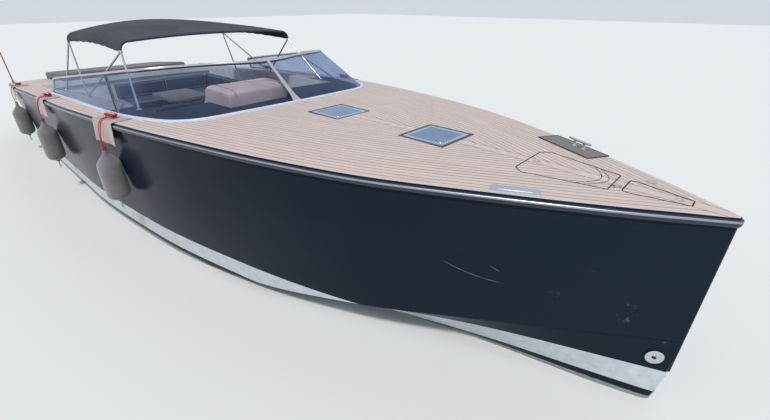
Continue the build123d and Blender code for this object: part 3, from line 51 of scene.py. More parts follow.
CAMBER = 0.020
# aft share, deck half-breadth share, sheer z, chine share, chine z, knuckle share, knuckle z, keel z
LINES = np.array([
    (0.0000, 0.007, 1.450, 0.007, 0.560, 0.007, 0.420, 0.290),
    (0.0036, 0.022, 1.451, 0.018, 0.557, 0.021, 0.060, -0.020),
    (0.0134, 0.062, 1.453, 0.050, 0.550, 0.041, 0.040, -0.230),
    (0.0400, 0.168, 1.457, 0.136, 0.515, 0.083, 0.000, -0.420),
    (0.1000, 0.374, 1.463, 0.314, 0.415, 0.171, 0.000, -0.560),
    (0.1800, 0.602, 1.464, 0.533, 0.285, 0.309, 0.000, -0.640),
    (0.2800, 0.774, 1.453, 0.697, 0.095, 0.457, -0.110, -0.670),
    (0.4200, 0.926, 1.417, 0.847, -0.010, 0.617, -0.190, -0.660),
    (0.5800, 0.996, 1.344, 0.917, -0.050, 0.686, -0.215, -0.640),
    (0.7900, 1.000, 1.198, 0.920, -0.060, 0.703, -0.210, -0.600),
    (1.0000, 0.928, 0.994, 0.857, -0.060, 0.657, -0.190, -0.540),
])
STATION_AFT = LINES[:, 0] * DECK_LENGTH


def fair_curve(xs, ys):
    """A smooth curve through points that never overshoots them."""
    xs, ys = np.asarray(xs, float), np.asarray(ys, float)
    step, slope = np.diff(xs), np.diff(ys) / np.diff(xs)
    tangent = np.zeros(len(xs))
    for i in range(1, len(xs) - 1):
        if slope[i - 1] * slope[i] > 0:
            w1, w2 = 2 * step[i] + step[i - 1], step[i] + 2 * step[i - 1]
            tangent[i] = (w1 + w2) / (w1 / slope[i - 1] + w2 / slope[i])
    tangent[0], tangent[-1] = slope[0], slope[-1]

    def at(x):
        x = np.clip(x, xs[0], xs[-1])
        i = np.clip(np.searchsorted(xs, x, side="right") - 1, 0, len(xs) - 2)
        t, h = (x - xs[i]) / step[i], step[i]
        return (
            ys[i] * (1 + 2 * t) * (1 - t) ** 2
            + tangent[i] * h * t * (1 - t) ** 2
            + ys[i + 1] * t * t * (3 - 2 * t)
            + tangent[i + 1] * h * t * t * (t - 1)
        )

    return at


deck_y, chine_y, knuckle_y = [fair_curve(STATION_AFT, LINES[:, i] * HALF_BEAM) for i in (1, 3, 5)]
sheer_z, chine_z, knuckle_z, keel_z = [fair_curve(STATION_AFT, LINES[:, i]) for i in (2, 4, 6, 7)]


def x_at(aft):
    return STEM_X - aft


def cad_line(aft, column):
    """A hull line as the CAD's straight-sided stations give it."""
    return float(np.interp(aft, STATION_AFT, LINES[:, column]))


def cad_deck_y(aft):
    return cad_line(aft, 1) * HALF_BEAM


def deck_z(aft, y=0.0):
    edge = deck_y(aft)
    return sheer_z(aft) + CAMBER * edge * (1 - np.minimum(np.abs(y) / edge, 1.0) ** 2)


# Making meshes


UP, TO_PORT = Vector((0, 0, 1)), Vector((0, 1, 0))


def link(obj):
    bpy.context.scene.collection.objects.link(obj)
    return obj


def new_object(name, verts, faces):
    mesh = bpy.data.meshes.new(name)
    mesh.from_pydata([tuple(v) for v in verts], [], faces)
    mesh.validate()
    return link(bpy.data.objects.new(name, mesh))


def smooth(obj, angle=35):
    obj.data.shade_smooth()
    obj.data.set_sharp_from_angle(angle=math.radians(angle))
    return obj


def grid_faces(rows, columns, close_rows=False, close_columns=False, start=0):
    faces = []
    for i in range(rows if close_rows else rows - 1):
        for j in range(columns if close_columns else columns - 1):
            a, b = i * columns + j, i * columns + (j + 1) % columns
            c, d = ((i + 1) % rows) * columns + (j + 1) % columns, ((i + 1) % rows) * columns + j
            faces.append((start + a, start + b, start + c, start + d))
    return faces


def grid_object(name, rows, close_rows=False, close_columns=False, caps=False):
    """A mesh from rows of points. caps closes the first and last row with a face."""
    columns = len(rows[0])
    verts = [p for row in rows for p in row]
    faces = grid_faces(len(rows), columns, close_rows, close_columns)
    if caps:
        last = (len(rows) - 1) * columns
        faces += [tuple(range(columns))[::-1], tuple(range(last, last + columns))]
    return new_object(name, verts, faces)


def join(name, objects):
    """One object from several."""
    mesh = bmesh.new()
    for obj in objects:
        obj.data.transform(obj.matrix_world)
        mesh.from_mesh(obj.data)
        bpy.data.objects.remove(obj)
    data = bpy.data.meshes.new(name)
    mesh.to_mesh(data)
    mesh.free()
    return link(bpy.data.objects.new(name, data))


def fix_normals(obj):
    mesh = bmesh.new()
    mesh.from_mesh(obj.data)
    bmesh.ops.remove_doubles(mesh, verts=mesh.verts, dist=0.00005)
    bmesh.ops.recalc_face_normals(mesh, faces=mesh.faces)
    mesh.to_mesh(obj.data)
    mesh.free()
    return obj


def closed_form(name, rows):
    """A closed mesh from rings of points, its first and last ring capped."""
    return fix_normals(grid_object(name, rows, close_columns=True, caps=True))


def node_box(name):
    """The low and the high corner of a CAD piece."""
    return [Vector(p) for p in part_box(name)]


def thicken(obj, amount):
    modifier = obj.modifiers.new("thick", "SOLIDIFY")
    modifier.thickness, modifier.offset = amount, 0.0
    return obj


def bevel(obj, width, angle=30):
    modifier = obj.modifiers.new("edges", "BEVEL")
    modifier.width, modifier.segments, modifier.limit_method = width, 2, "ANGLE"
    modifier.angle_limit = math.radians(angle)
    return obj


def map_uv(obj, name, places):
    """A UV layer that holds a pair of numbers for each vertex."""
    layer = obj.data.uv_layers.new(name=name)
    for loop in obj.data.loops:
        layer.data[loop.index].uv = places[loop.vertex_index]
    return obj


def keep_within(obj, low, high):
    """Moves what passes a box back to its sides."""
    for v in obj.data.vertices:
        for i in range(3):
            v.co[i] = min(max(v.co[i], low[i]), high[i])
    return obj


def apply_modifiers(obj):
    bpy.context.view_layer.update()
    graph = bpy.context.evaluated_depsgraph_get()
    solved = obj.evaluated_get(graph)
    data = bpy.data.meshes.new_from_object(solved, preserve_all_data_layers=True, depsgraph=graph)
    obj.modifiers.clear()
    obj.data = data
    return obj


def boolean(obj, cutter, operation="DIFFERENCE"):
    modifier = obj.modifiers.new("cut", "BOOLEAN")
    modifier.object, modifier.operation, modifier.solver = cutter, operation, "EXACT"
    apply_modifiers(obj)
    bpy.data.objects.remove(cutter)
    return obj


def prism(name, outline, low, high):
    """A solid between two heights over an outline of (x, y) points."""
    count = len(outline)
    verts = [(x, y, low) for x, y in outline] + [(x, y, high) for x, y in outline]
    faces = [tuple(range(count))[::-1], tuple(range(count, 2 * count))]
    faces += [(i, (i + 1) % count, count + (i + 1) % count, count + i) for i in range(count)]
    return fix_normals(new_object(name, verts, faces))


def frames_along(points, closed=False, up=(0, 0, 1)):
    """Tangent, side and up vectors at each point of a path."""
    points = [Vector(p) for p in points]
    count, result = len(points), []
    for i, point in enumerate(points):
        before = points[(i - 1) % count] if closed or i > 0 else point
        after = points[(i + 1) % count] if closed or i < count - 1 else point
        way = (after - before).normalized()
        side = way.cross(Vector(up)).normalized()
        result.append((way, side, side.cross(way)))
    return result


def sweep(name, path, profile, closed=False, up=(0, 0, 1), scale=None):
    """A profile of (side, up) points carried along a path."""
    rows = []
    for i, (point, (_, side, over)) in enumerate(zip(path, frames_along(path, closed, up))):
        k = 1.0 if scale is None else scale[i]
        rows.append([Vector(point) + side * (a * k) + over * (b * k) for a, b in profile])
    obj = grid_object(name, rows, close_rows=closed, close_columns=True, caps=not closed)
    return fix_normals(obj)


def ring_profile(radius, count=16):
    turns = [2 * math.pi * i / count for i in range(count)]
    return [(radius * math.cos(a), radius * math.sin(a)) for a in turns]


def rounded_profile(width, height, radius, steps=4):
    """A rectangle with rounded corners, centred."""
    points = []
    for cx, cy, start in ((1, 1, 0), (-1, 1, 90), (-1, -1, 180), (1, -1, 270)):
        for i in range(steps + 1):
            a = math.radians(start + 90 * i / steps)
            points.append((
                cx * (width / 2 - radius) + radius * math.cos(a),
                cy * (height / 2 - radius) + radius * math.sin(a),
            ))
    return points


def tube(name, path, radius, count=16, closed=False):
    """A round tube whose frame doesn't twist along the path."""
    points = [Vector(p) for p in path]
    total = len(points)
    ways = []
    for i, point in enumerate(points):
        before = points[(i - 1) % total] if closed or i > 0 else point
        after = points[(i + 1) % total] if closed or i < total - 1 else point
        ways.append((after - before).normalized())
    side = ways[0].orthogonal().normalized()
    rows = []
    for i, (point, way) in enumerate(zip(points, ways)):
        side = (side - way * side.dot(way)).normalized()
        over = way.cross(side)
        r = radius[i] if hasattr(radius, "__len__") else radius
        rows.append([point + side * (a * r) + over * (b * r) for a, b in ring_profile(1.0, count)])
    return fix_normals(grid_object(name, rows, close_rows=closed, close_columns=True, caps=not closed))


def spline_points(points, per_span=8, closed=False):
    """Points on a smooth curve through the given ones."""
    points = [Vector(p) for p in points]
    count = len(points)
    result = []
    for i in range(count if closed else count - 1):
        p1, p2 = points[i], points[(i + 1) % count]
        p0 = points[(i - 1) % count] if closed or i > 0 else p1 * 2 - p2
        p3 = points[(i + 2) % count] if closed or i < count - 2 else p2 * 2 - p1
        knots = [0.0]
        for a, b in ((p0, p1), (p1, p2), (p2, p3)):
            knots.append(knots[-1] + max((b - a).length, 1e-6) ** 0.5)
        t0, t1, t2, t3 = knots
        for j in range(per_span):
            t = t1 + (t2 - t1) * j / per_span
            a1 = p0 * ((t1 - t) / (t1 - t0)) + p1 * ((t - t0) / (t1 - t0))
            a2 = p1 * ((t2 - t) / (t2 - t1)) + p2 * ((t - t1) / (t2 - t1))
            a3 = p2 * ((t3 - t) / (t3 - t2)) + p3 * ((t - t2) / (t3 - t2))
            b1 = a1 * ((t2 - t) / (t2 - t0)) + a2 * ((t - t0) / (t2 - t0))
            b2 = a2 * ((t3 - t) / (t3 - t1)) + a3 * ((t - t1) / (t3 - t1))
            result.append(b1 * ((t2 - t) / (t2 - t1)) + b2 * ((t - t1) / (t2 - t1)))
    if not closed:
        result.append(points[-1])
    return result


def around(count):
    return np.linspace(0, 2 * math.pi, count, endpoint=False)


def ring(centre, side, over, radius, count):
    """Points round a centre, in the plane of two unit vectors."""
    return [centre + side * (radius * math.cos(t)) + over * (radius * math.sin(t)) for t in around(count)]


def revolve(name, profile, origin, axis="Z", count=32):
    """A profile of (radius, height) turned about an axis through origin."""
    rows = []
    for radius, height in profile:
        row = []
        for i in range(count):
            a = 2 * math.pi * i / count
            c, s = radius * math.cos(a), radius * math.sin(a)
            offsets = {"X": (height, c, s), "Y": (c, height, s), "Z": (c, s, height)}
            row.append(Vector(origin) + Vector(offsets[axis]))
        rows.append(row)
    return closed_form(name, rows)


# Materials


class Shader:
    """A Principled material with short ways to add nodes."""

    def __init__(self, name, color, roughness=0.5, metallic=0.0, **sockets):
        self.material = bpy.data.materials.new(name)
        self.material.use_nodes = True
        self.tree = self.material.node_tree
        self.bsdf = self.tree.nodes["Principled BSDF"]
        self.bsdf.inputs["Base Color"].default_value = (*color, 1)
        self.bsdf.inputs["Roughness"].default_value = roughness
        self.bsdf.inputs["Metallic"].default_value = metallic
        for key, value in sockets.items():
            self.bsdf.inputs[key.replace("_", " ")].default_value = value
        self.place = None

    def node(self, kind, **inputs):
        node = self.tree.nodes.new(kind)
        for key, value in inputs.items():
            self.put(node, key.replace("_", " "), value)
        return node

    def put(self, node, key, value):
        socket = node.inputs[int(key[1:])] if key[0] == "i" and key[1:].isdigit() else node.inputs[key]
        if isinstance(value, bpy.types.NodeSocket):
            self.tree.links.new(value, socket)
        else:
            socket.default_value = value

    def coords(self):
        """Position in the object's own frame, which is the row frame at rest."""
        if self.place is None:
            self.place = self.tree.nodes.new("ShaderNodeTexCoord").outputs["Object"]
        return self.place

    def split(self, vector=None):
        node = self.node("ShaderNodeSeparateXYZ", Vector=vector or self.coords())
        return node.outputs["X"], node.outputs["Y"], node.outputs["Z"]

    def uv(self, name):
        """The two numbers of a UV layer."""
        node = self.tree.nodes.new("ShaderNodeUVMap")
        node.uv_map = name
        return self.split(node.outputs["UV"])[:2]

    def stretched(self, x, y, z, vector=None):
        vector = vector or self.coords()
        return self.node("ShaderNodeMapping", Vector=vector, Scale=(x, y, z)).outputs["Vector"]

    def noise(self, scale, detail=4.0, roughness=0.55, vector=None, distortion=0.0):
        node = self.node(
            "ShaderNodeTexNoise", Scale=scale, Detail=detail, Roughness=roughness,
            Distortion=distortion, Vector=vector or self.coords(),
        )
        return node.outputs["Fac"]

    def math(self, operation, a, b=0.0):
        node = self.tree.nodes.new("ShaderNodeMath")
        node.operation = operation
        for i, value in enumerate((a, b)):
            self.put(node, "i%d" % i, value)
        return node.outputs["Value"]

    def add(self, a, b):
        return self.math("ADD", a, b)

    def sub(self, a, b):
        return self.math("SUBTRACT", a, b)

    def mul(self, a, b):
        return self.math("MULTIPLY", a, b)

    def apart(self, a, b):
        """How far two numbers lie apart."""
        return self.math("ABSOLUTE", self.sub(a, b))

    def ramp(self, value, low, high, out_low=0.0, out_high=1.0):
        node = self.tree.nodes.new("ShaderNodeMapRange")
        node.interpolation_type = "SMOOTHSTEP"
        names = ("Value", "From Min", "From Max", "To Min", "To Max")
        for key, setting in zip(names, (value, low, high, out_low, out_high)):
            self.put(node, key, setting)
        return node.outputs["Result"]

    def mix(self, factor, a, b):
        """A colour between a and b."""
        node = self.tree.nodes.new("ShaderNodeMix")
        node.data_type = "RGBA"
        for i, value in ((0, factor), (6, a), (7, b)):
            if isinstance(value, tuple) and len(value) == 3:
                value = (*value, 1)
            self.put(node, "i%d" % i, value)
        return node.outputs[2]

    def mix_shaders(self, factor, a, b):
        node = self.tree.nodes.new("ShaderNodeMixShader")
        for i, value in enumerate((factor, a, b)):
            self.tree.links.new(value, node.inputs[i])
        return node.outputs[0]

    def set(self, **sockets):
        for key, value in sockets.items():
            self.put(self.bsdf, key.replace("_", " "), value)
        return self

    def bump(self, height, distance=0.001, strength=1.0):
        previous = self.bsdf.inputs["Normal"].links
        node = self.node("ShaderNodeBump", Height=height, Distance=distance, Strength=strength)
        if previous:
            self.tree.links.new(previous[0].from_socket, node.inputs["Normal"])
        self.tree.links.new(node.outputs["Normal"], self.bsdf.inputs["Normal"])
        return self


# Heights where the hull's paint changes: the foot of the navy, the white stripe, the dark line and the silver
NAVY_FOOT, WHITE_FOOT, LINE_FOOT, SILVER_FOOT = 0.290, 0.100, 0.042, -0.018
# Scratches of the starboard bow: from x, to x, height there, slope and bend
SCRATCHES = [(4.62, 5.03, 0.927, -0.612, 0.746), (4.92, 4.99, 0.933, -0.610, 0.0)]
# Rubbed patches of the starboard bow: x, z and the two half sizes
RUBBED = [(5.30, 0.75, 0.06, 0.07), (5.69, 0.70, 0.06, 0.17), (5.90, 0.53, 0.05, 0.05)]


def bow_scratches(s, x, z):
    """The strongest of the broken, curved lines, from 0 to 1."""
    found = 0.0
    broken = s.ramp(s.noise(34.0, 4.0, 0.7), 0.30, 0.62, 0.25, 1.0)
    for first, last, height, slope, bend in SCRATCHES:
        along = s.sub(x, first)
        drop = s.mul(along, s.add(s.mul(along, bend), slope))
        away = s.apart(z, s.add(drop, height))
        middle = s.apart(x, (first + last) / 2)
        reach = s.ramp(middle, (last - first) * 0.25, (last - first) * 0.5, 1.0, 0.0)
        line = s.mul(s.ramp(away, 0.0012, 0.0050, 0.85, 0.0), reach)
        found = s.math("MAXIMUM", found, s.mul(line, broken))
    return found


def bow_marks(s, x, y, z):
    """How strongly the bow's scratches and rubbed patches show, from 0 to 1."""
    found = bow_scratches(s, x, z)
    mottled = s.ramp(s.noise(22.0, 6.0, 0.75), 0.52, 0.72, 0.0, 0.55)
    for at_x, at_z, half_x, half_z in RUBBED:
        a = s.math("POWER", s.math("DIVIDE", s.sub(x, at_x), half_x), 2.0)
        b = s.math("POWER", s.math("DIVIDE", s.sub(z, at_z), half_z), 2.0)
        patch = s.mul(s.ramp(s.add(a, b), 0.2, 1.0, 1.0, 0.0), mottled)
        found = s.math("MAXIMUM", found, patch)
    return s.mul(found, s.math("LESS_THAN", y, 0.0))


def topsides(s, x, y, z):
    """Navy gelcoat, a little lighter and bluer towards the bow, with scuffs and marks there."""
    navy = s.mix(s.ramp(s.noise(0.9, 3.0), 0.35, 0.7), (0.006, 0.009, 0.019), (0.010, 0.015, 0.029))
    streaks = s.noise(1.0, 5.0, 0.65, s.stretched(1.3, 1.3, 5.0), 1.2)
    scuff = s.mul(s.ramp(streaks, 0.66, 0.74), s.ramp(s.noise(2.3), 0.5, 0.66))
    marks = s.mul(scuff, s.mul(s.ramp(z, 0.30, 0.55), s.ramp(x, 1.5, 4.5)))
    # A lighter, bluer navy towards the bow
    navy = s.mix(s.mul(s.ramp(x, 1.0, 5.6), 0.8), navy, (0.008, 0.018, 0.028))
    navy = s.mix(s.mul(marks, 0.38), navy, (0.20, 0.22, 0.24))
    return s.mix(bow_marks(s, x, y, z), navy, (0.15, 0.17, 0.19))


def hull_paint():
    """Topsides, then boot stripes by height, and dark bottom paint."""
    s = Shader("hull_paint", (0.008, 0.012, 0.024), 0.22, Specular_IOR_Level=0.45, IOR=1.17)
    x, y, z = s.split()
    white = s.mix(s.ramp(s.noise(14.0, 5.0, 0.7), 0.3, 0.75), (0.52, 0.57, 0.60), (0.40, 0.45, 0.49))
    brushed = s.noise(60.0, 4.0, 0.7, s.stretched(0.3, 0.3, 4.0))
    silver = s.mix(s.ramp(brushed, 0.4, 0.65), (0.16, 0.18, 0.19), (0.38, 0.41, 0.42))
    slime = s.mix(s.ramp(s.noise(5.0, 6.0, 0.7), 0.35, 0.7), (0.018, 0.026, 0.030), (0.035, 0.050, 0.045))
    line = (0.010, 0.014, 0.022)
    color = topsides(s, x, y, z)
    for foot, below in ((NAVY_FOOT, white), (WHITE_FOOT, line), (LINE_FOOT, silver), (SILVER_FOOT, slime)):
        color = s.mix(s.math("LESS_THAN", z, foot), color, below)
    rough = s.ramp(z, SILVER_FOOT - 0.002, SILVER_FOOT + 0.006, 0.62, 0.16)
    rough = s.add(rough, s.mul(s.noise(3.0, 5.0, 0.6), 0.08))
    s.set(Base_Color=color, Roughness=rough)
    s.bump(s.noise(1.6, 2.0), 0.003, 0.25)
    return s.material


PLANK = 0.047
MARGIN = 0.060
CAULK = 0.0044
KING_PLANK = 0.042  # half its width


def caulked(s, number, inset, y, straight):
    """Where the seams between the planks lie, and those beside the king plank."""
    beside = s.apart(s.math("FRACT", number), 0.5)
    seam = s.math("GREATER_THAN", beside, 0.5 - CAULK / PLANK / 2)
    seam = s.mul(seam, s.math("GREATER_THAN", inset, MARGIN - CAULK))
    if straight:
        return seam
    across = s.math("ABSOLUTE", y)
    king = s.math("LESS_THAN", across, KING_PLANK)
    edge = s.math("LESS_THAN", s.apart(across, KING_PLANK), CAULK / 2)
    return s.math("MAXIMUM", s.mul(seam, s.sub(1.0, king)), edge)


def teak(name="teak", tone=(0.50, 0.41, 0.385), lines=True, straight=False):
    """Weathered teak. UV holds the distance along the boat and the distance in from the deck's edge.
    Straight planks need no UV."""
    s = Shader(name, tone, 0.62)
    x, y, _ = s.split()
    along, inset = (x, s.add(y, 4.0)) if straight else s.uv("planks")
    number = s.math("DIVIDE", s.sub(inset, MARGIN), PLANK)
    index = s.math("MAXIMUM", s.math("FLOOR", number), -1.0)
    seed = s.node("ShaderNodeCombineXYZ", X=index, Y=s.math("SIGN", y)).outputs["Vector"]
    tint = s.node("ShaderNodeTexWhiteNoise", Vector=seed).outputs["Value"]
    place = s.node("ShaderNodeCombineXYZ", X=along, Y=inset, Z=index).outputs["Vector"]
    grain = s.noise(1.0, 6.0, 0.62, s.stretched(2.2, 160.0, 3.1, place), 0.6)
    patches = s.noise(1.7, 3.0, 0.5)
    dark = tuple(c * 0.80 for c in tone)
    light = tuple(min(1.0, c * 1.16) for c in tone)
    grey = tuple(0.55 * c + 0.45 * 0.36 for c in tone)
    color = s.mix(s.ramp(grain, 0.32, 0.68), dark, light)
    color = s.mix(s.mul(tint, 0.42), color, grey)
    color = s.mix(s.mul(s.ramp(patches, 0.35, 0.75), 0.30), color, grey)
    if lines:
        seam = caulked(s, number, inset, y, straight)
        color = s.mix(seam, color, (0.040, 0.034, 0.034))
        s.bump(s.sub(1.0, seam), 0.0012, 0.7)
    s.bump(grain, 0.0004, 0.6)
    s.set(Base_Color=color, Roughness=s.ramp(grain, 0.2, 0.8, 0.72, 0.54))
    return s.material


def metal(name="stainless", color=(0.66, 0.67, 0.69), roughness=0.16):
    s = Shader(name, color, roughness, 1.0)
    fine = s.noise(90.0, 4.0, 0.6, s.stretched(1, 1, 1))
    smear = s.noise(7.0, 3.0, 0.5)
    s.set(Roughness=s.add(s.ramp(smear, 0.3, 0.75, roughness, roughness + 0.10), s.mul(fine, 0.03)))
    s.set(Base_Color=s.mix(s.ramp(smear, 0.3, 0.8), color, tuple(c * 0.86 for c in color)))
    return s.material


def plain(name, color, roughness=0.4, grain=40.0, depth=0.0002, spread=0.12, **sockets):
    """Moulded or painted surface with slight unevenness of colour and gloss."""
    s = Shader(name, color, roughness, **sockets)
    broad, fine = s.noise(3.0, 4.0), s.noise(grain, 3.0)
    low = tuple(c * (1 - spread) for c in color)
    high = tuple(min(1.0, c * (1 + spread * 0.6)) for c in color)
    s.set(Base_Color=s.mix(s.ramp(broad, 0.3, 0.7), low, high))
    s.set(Roughness=s.add(s.mul(s.sub(broad, 0.5), 0.16), roughness))
    s.bump(fine, depth, 0.5)
    return s.material


def woven(name, color, pitch=0.0022, depth=0.0004, roughness=0.85, fade=0.25):
    """Plain weave cloth with faded patches."""
    s = Shader(name, color, roughness)
    s.set(Sheen_Weight=0.15, Sheen_Roughness=0.5)
    x, y, z = s.split()
    rate = 2 * math.pi / pitch
    warp = s.math("SINE", s.mul(s.add(x, s.mul(z, 0.6)), rate))
    weft = s.math("SINE", s.mul(s.add(y, s.mul(z, 0.8)), rate))
    threads = s.mul(warp, weft)
    patches = s.noise(2.2, 5.0, 0.6)
    specks = s.noise(220.0, 3.0, 0.6)
    pale = tuple(c + (0.5 - c) * fade * 0.4 for c in color)
    base = s.mix(s.ramp(patches, 0.35, 0.75), color, pale)
    s.set(Base_Color=s.mix(s.ramp(specks, 0.35, 0.7, 0.0, 0.35), base, tuple(c * 0.6 for c in color)))
    s.bump(threads, depth, 0.6)
    s.bump(s.noise(6.0, 4.0), 0.003, 0.25)
    return s.material


def leather(name, color, roughness=0.48, depth=0.0006):
    s = Shader(name, color, roughness)
    cells = s.node("ShaderNodeTexVoronoi", Vector=s.coords(), Scale=420.0).outputs["Distance"]
    broad = s.noise(4.0, 5.0)
    s.set(Base_Color=s.mix(s.ramp(broad, 0.3, 0.75), color, tuple(c * 0.84 for c in color)))
    s.set(Roughness=s.ramp(cells, 0.0, 0.6, roughness + 0.10, roughness - 0.04))
    s.bump(cells, depth, 0.5)
    s.bump(s.noise(18.0, 4.0), 0.0012, 0.3)
    return s.material


def add_material(obj, *materials):
    for material in materials:
        obj.data.materials.append(material)
    return obj


def finish_piece(obj, material, body="hull", replaces=None, angle=35, soften=True):
    """Material, shading, the body it rides on, its colour slot and the CAD node it stands for."""
    if material is not None:
        add_material(obj, material)
    if soften:
        smooth(obj, angle)
    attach(obj, body)
    if replaces:
        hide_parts(replaces)
    return obj


TEAK = teak()
STAINLESS = metal()
GELCOAT = plain("white_gelcoat", (0.72, 0.72, 0.70), 0.28, 60.0, 0.0001, 0.05)
BLACK = plain("black_plastic", (0.018, 0.018, 0.020), 0.42, 300.0, 0.0002, 0.2)
SEAL = plain("black_rubber", (0.012, 0.012, 0.013), 0.6, 200.0, 0.0002, 0.2)

# The camera, fitted to the photo, whose width and focal length are in pixels

PHOTO_WIDTH, PHOTO_FOCAL = 770, 400
SENSOR_WIDTH = 36.0
CAMERA_PLACE = (5.867, -2.622, 2.462)
CAMERA_YAW, CAMERA_PITCH = math.radians(132.55), math.radians(27.72)


def turn_to(obj, way):
    """Points a camera or a light along a direction."""
    obj.rotation_mode = "QUATERNION"
    obj.rotation_quaternion = Vector(way).to_track_quat("-Z", "Y")


def set_camera():
    data = bpy.data.cameras.new("camera")
    data.sensor_width = SENSOR_WIDTH
    data.lens = PHOTO_FOCAL / PHOTO_WIDTH * SENSOR_WIDTH
    data.clip_start = 0.05
    camera = link(bpy.data.objects.new("camera", data))
    camera.location = CAMERA_PLACE
    level = math.cos(CAMERA_PITCH)
    way = (level * math.cos(CAMERA_YAW), level * math.sin(CAMERA_YAW), -math.sin(CAMERA_PITCH))
    turn_to(camera, way)
    bpy.context.scene.camera = camera


# Floor at the waterline and soft studio light

FLOOR_HALF = 60
SKY = (0.86, 0.92, 1.0, 1)
SUN_WAY = (-0.35, 0.42, -0.84)


def studio():
    h = FLOOR_HALF
    floor = new_object("floor", [(-h, -h, 0), (h, -h, 0), (h, h, 0), (-h, h, 0)], [(0, 1, 2, 3)])
    s = Shader("floor_paint", (0.60, 0.62, 0.63), 0.75)
    s.set(Roughness=s.ramp(s.noise(0.6, 3.0), 0.2, 0.8, 0.70, 0.80))
    add_material(floor, s.material)
    world = bpy.data.worlds.new("studio")
    bpy.context.scene.world = world
    world.use_nodes = True
    background = world.node_tree.nodes["Background"]
    background.inputs["Color"].default_value = SKY
    background.inputs["Strength"].default_value = 0.75
    sun_data = bpy.data.lights.new("sun", "SUN")
    sun_data.energy, sun_data.angle = 2.6, math.radians(6)
    sun_data.color = (1.0, 0.96, 0.90)
    turn_to(link(bpy.data.objects.new("sun", sun_data)), SUN_WAY)
    bpy.context.scene.view_settings.view_transform = "Standard"


set_camera()
studio()

# Hull: a fair outer skin over the CAD's inner walls

SKIN_AFT = np.concatenate([
    [0.0, 0.012, 0.025, 0.04, 0.06, 0.085, 0.115, 0.15, 0.19, 0.24, 0.30, 0.37],
    np.linspace(0.447, DECK_LENGTH, 150),
])
CHINE_STEP = 0.014


def skin_section(aft):
    """The port half of a section, from the deck's edge down to the keel."""
    x = x_at(aft)
    top, chine = Vector((x, deck_y(aft), sheer_z(aft))), Vector((x, chine_y(aft), chine_z(aft)))
    knuckle, keel = Vector((x, knuckle_y(aft), knuckle_z(aft))), Vector((x, 0.0, keel_z(aft)))
    step = min(CHINE_STEP, chine.y * 0.3)
    points = [top + Vector((0, y, z)) for y, z in ((-0.030, 0), (-0.006, 0), (-0.0015, -0.0015))]
    if aft < 0.06:
        points = [top + Vector((0, -top.y * k, 0)) for k in (0.9, 0.3, 0.05)]
    for i in range(12):
        t = i / 11
        point = (top + Vector((0, 0, -0.006))).lerp(chine, t)
        point.y += 0.010 * math.sin(math.pi * t) * min(1.0, aft / 1.5)
        points.append(point)
    inner = chine + Vector((0, -step, -0.002))
    points += [inner.lerp(knuckle, i / 5) for i in range(6)]
    points += [knuckle.lerp(keel, i / 7) for i in range(1, 8)]
    return points


def hull_skin():
    rows = []
    for aft in SKIN_AFT:
        port = skin_section(aft)
        rows.append(port + [Vector((p.x, -p.y, p.z)) for p in port[-2::-1]])
    rows.insert(0, [Vector((STEM_X + 0.006, p.y * 0.25, p.z)) for p in rows[0]])
    columns = len(rows[0])
    faces = grid_faces(len(rows), columns)
    last = (len(rows) - 1) * columns
    faces.append(tuple(range(last, last + columns)))
    faces += [(i, i + 1, columns - 2 - i, columns - 1 - i) for i in range(columns // 2)]
    skin = new_object("hull_skin", [p for row in rows for p in row], faces)
    fix_normals(skin)
    bore = tube("bore", [(x_at(0.1), -0.4, 0.4), (x_at(0.1), 0.4, 0.4)], 0.019, 24)
    boolean(skin, bore)
    return finish_piece(skin, hull_paint(), replaces="hull", angle=22)


LINER_DEPTH = 0.050


def is_outer(face):
    """Whether a face of the CAD hull belongs to its outside, its transom or its top."""
    centre = face.calc_center_median()
    aft, y = STEM_X - centre.x, abs(centre.y)
    if aft > DECK_LENGTH - 0.01 or aft < 0.2:
        return True
    top = deck_z(aft, min(y, deck_y(aft))) - DECK_THICK
    if abs(face.normal.z) > 0.8 and abs(centre.z - top) < 0.02:
        return True
    section = skin_section(aft)[2:]
    for p, q in zip(section, section[1:]):
        dy, dz = q.y - p.y, q.z - p.z
        t = max(0.0, min(1.0, ((y - p.y) * dy + (centre.z - p.z) * dz) / max(dy * dy + dz * dz, 1e-9)))
        if math.hypot(p.y + t * dy - y, p.z + t * dz - centre.z) < LINER_DEPTH:
            return True
    return False


def hull_liner():
    """The cockpit, cabin, locker and engine bay walls: the CAD hull without its outside."""
    mesh = bmesh.new()
    mesh.from_mesh(nodes["hull"].data)
    bmesh.ops.remove_doubles(mesh, verts=mesh.verts, dist=0.00005)
    bmesh.ops.delete(mesh, geom=[f for f in mesh.faces if is_outer(f)], context="FACES")
    data = bpy.data.meshes.new("hull_liner")
    mesh.to_mesh(data)
    mesh.free()
    data.materials.clear()
    return finish_piece(link(bpy.data.objects.new("hull_liner", data)), GELCOAT, angle=20)


hull_skin()
hull_liner()

# Deck: a teak sheet over the whole boat, cut for the cockpit, the lids and the hatches

DECK_SHEET = 0.072
LID_GAP = 0.005
LOCKER_LID = [(0.620, 0.140), (1.120, 0.250), (1.180, 0.195)]
ROLLER_LID = [(0.210, 0.042), (0.525, 0.108), (0.555, 0.092)]
BAY_LID = [(9.125, 1.120), (10.995, 1.120)]
HATCHES = {"forward_hatch": 1.976, "aft_hatch": 3.158}
HATCH_SIZE = 0.448
COCKPIT_FORE, COCKPIT_AFT = 4.640, 8.965
SIDE_DECK, AFT_SIDE_DECK = 0.440, 0.310
NARROWS_FROM, NARROWS_TO = 7.450, 7.710


def mirrored(points):
    """A closed (x, y) outline from its port half, given as (aft, half-breadth)."""
    port = [(x_at(aft), y) for aft, y in points]
    return port + [(x, -y) for x, y in reversed(port)]


def cockpit_inset(aft):
    return float(np.interp(aft, (NARROWS_FROM, NARROWS_TO), (SIDE_DECK, AFT_SIDE_DECK)))


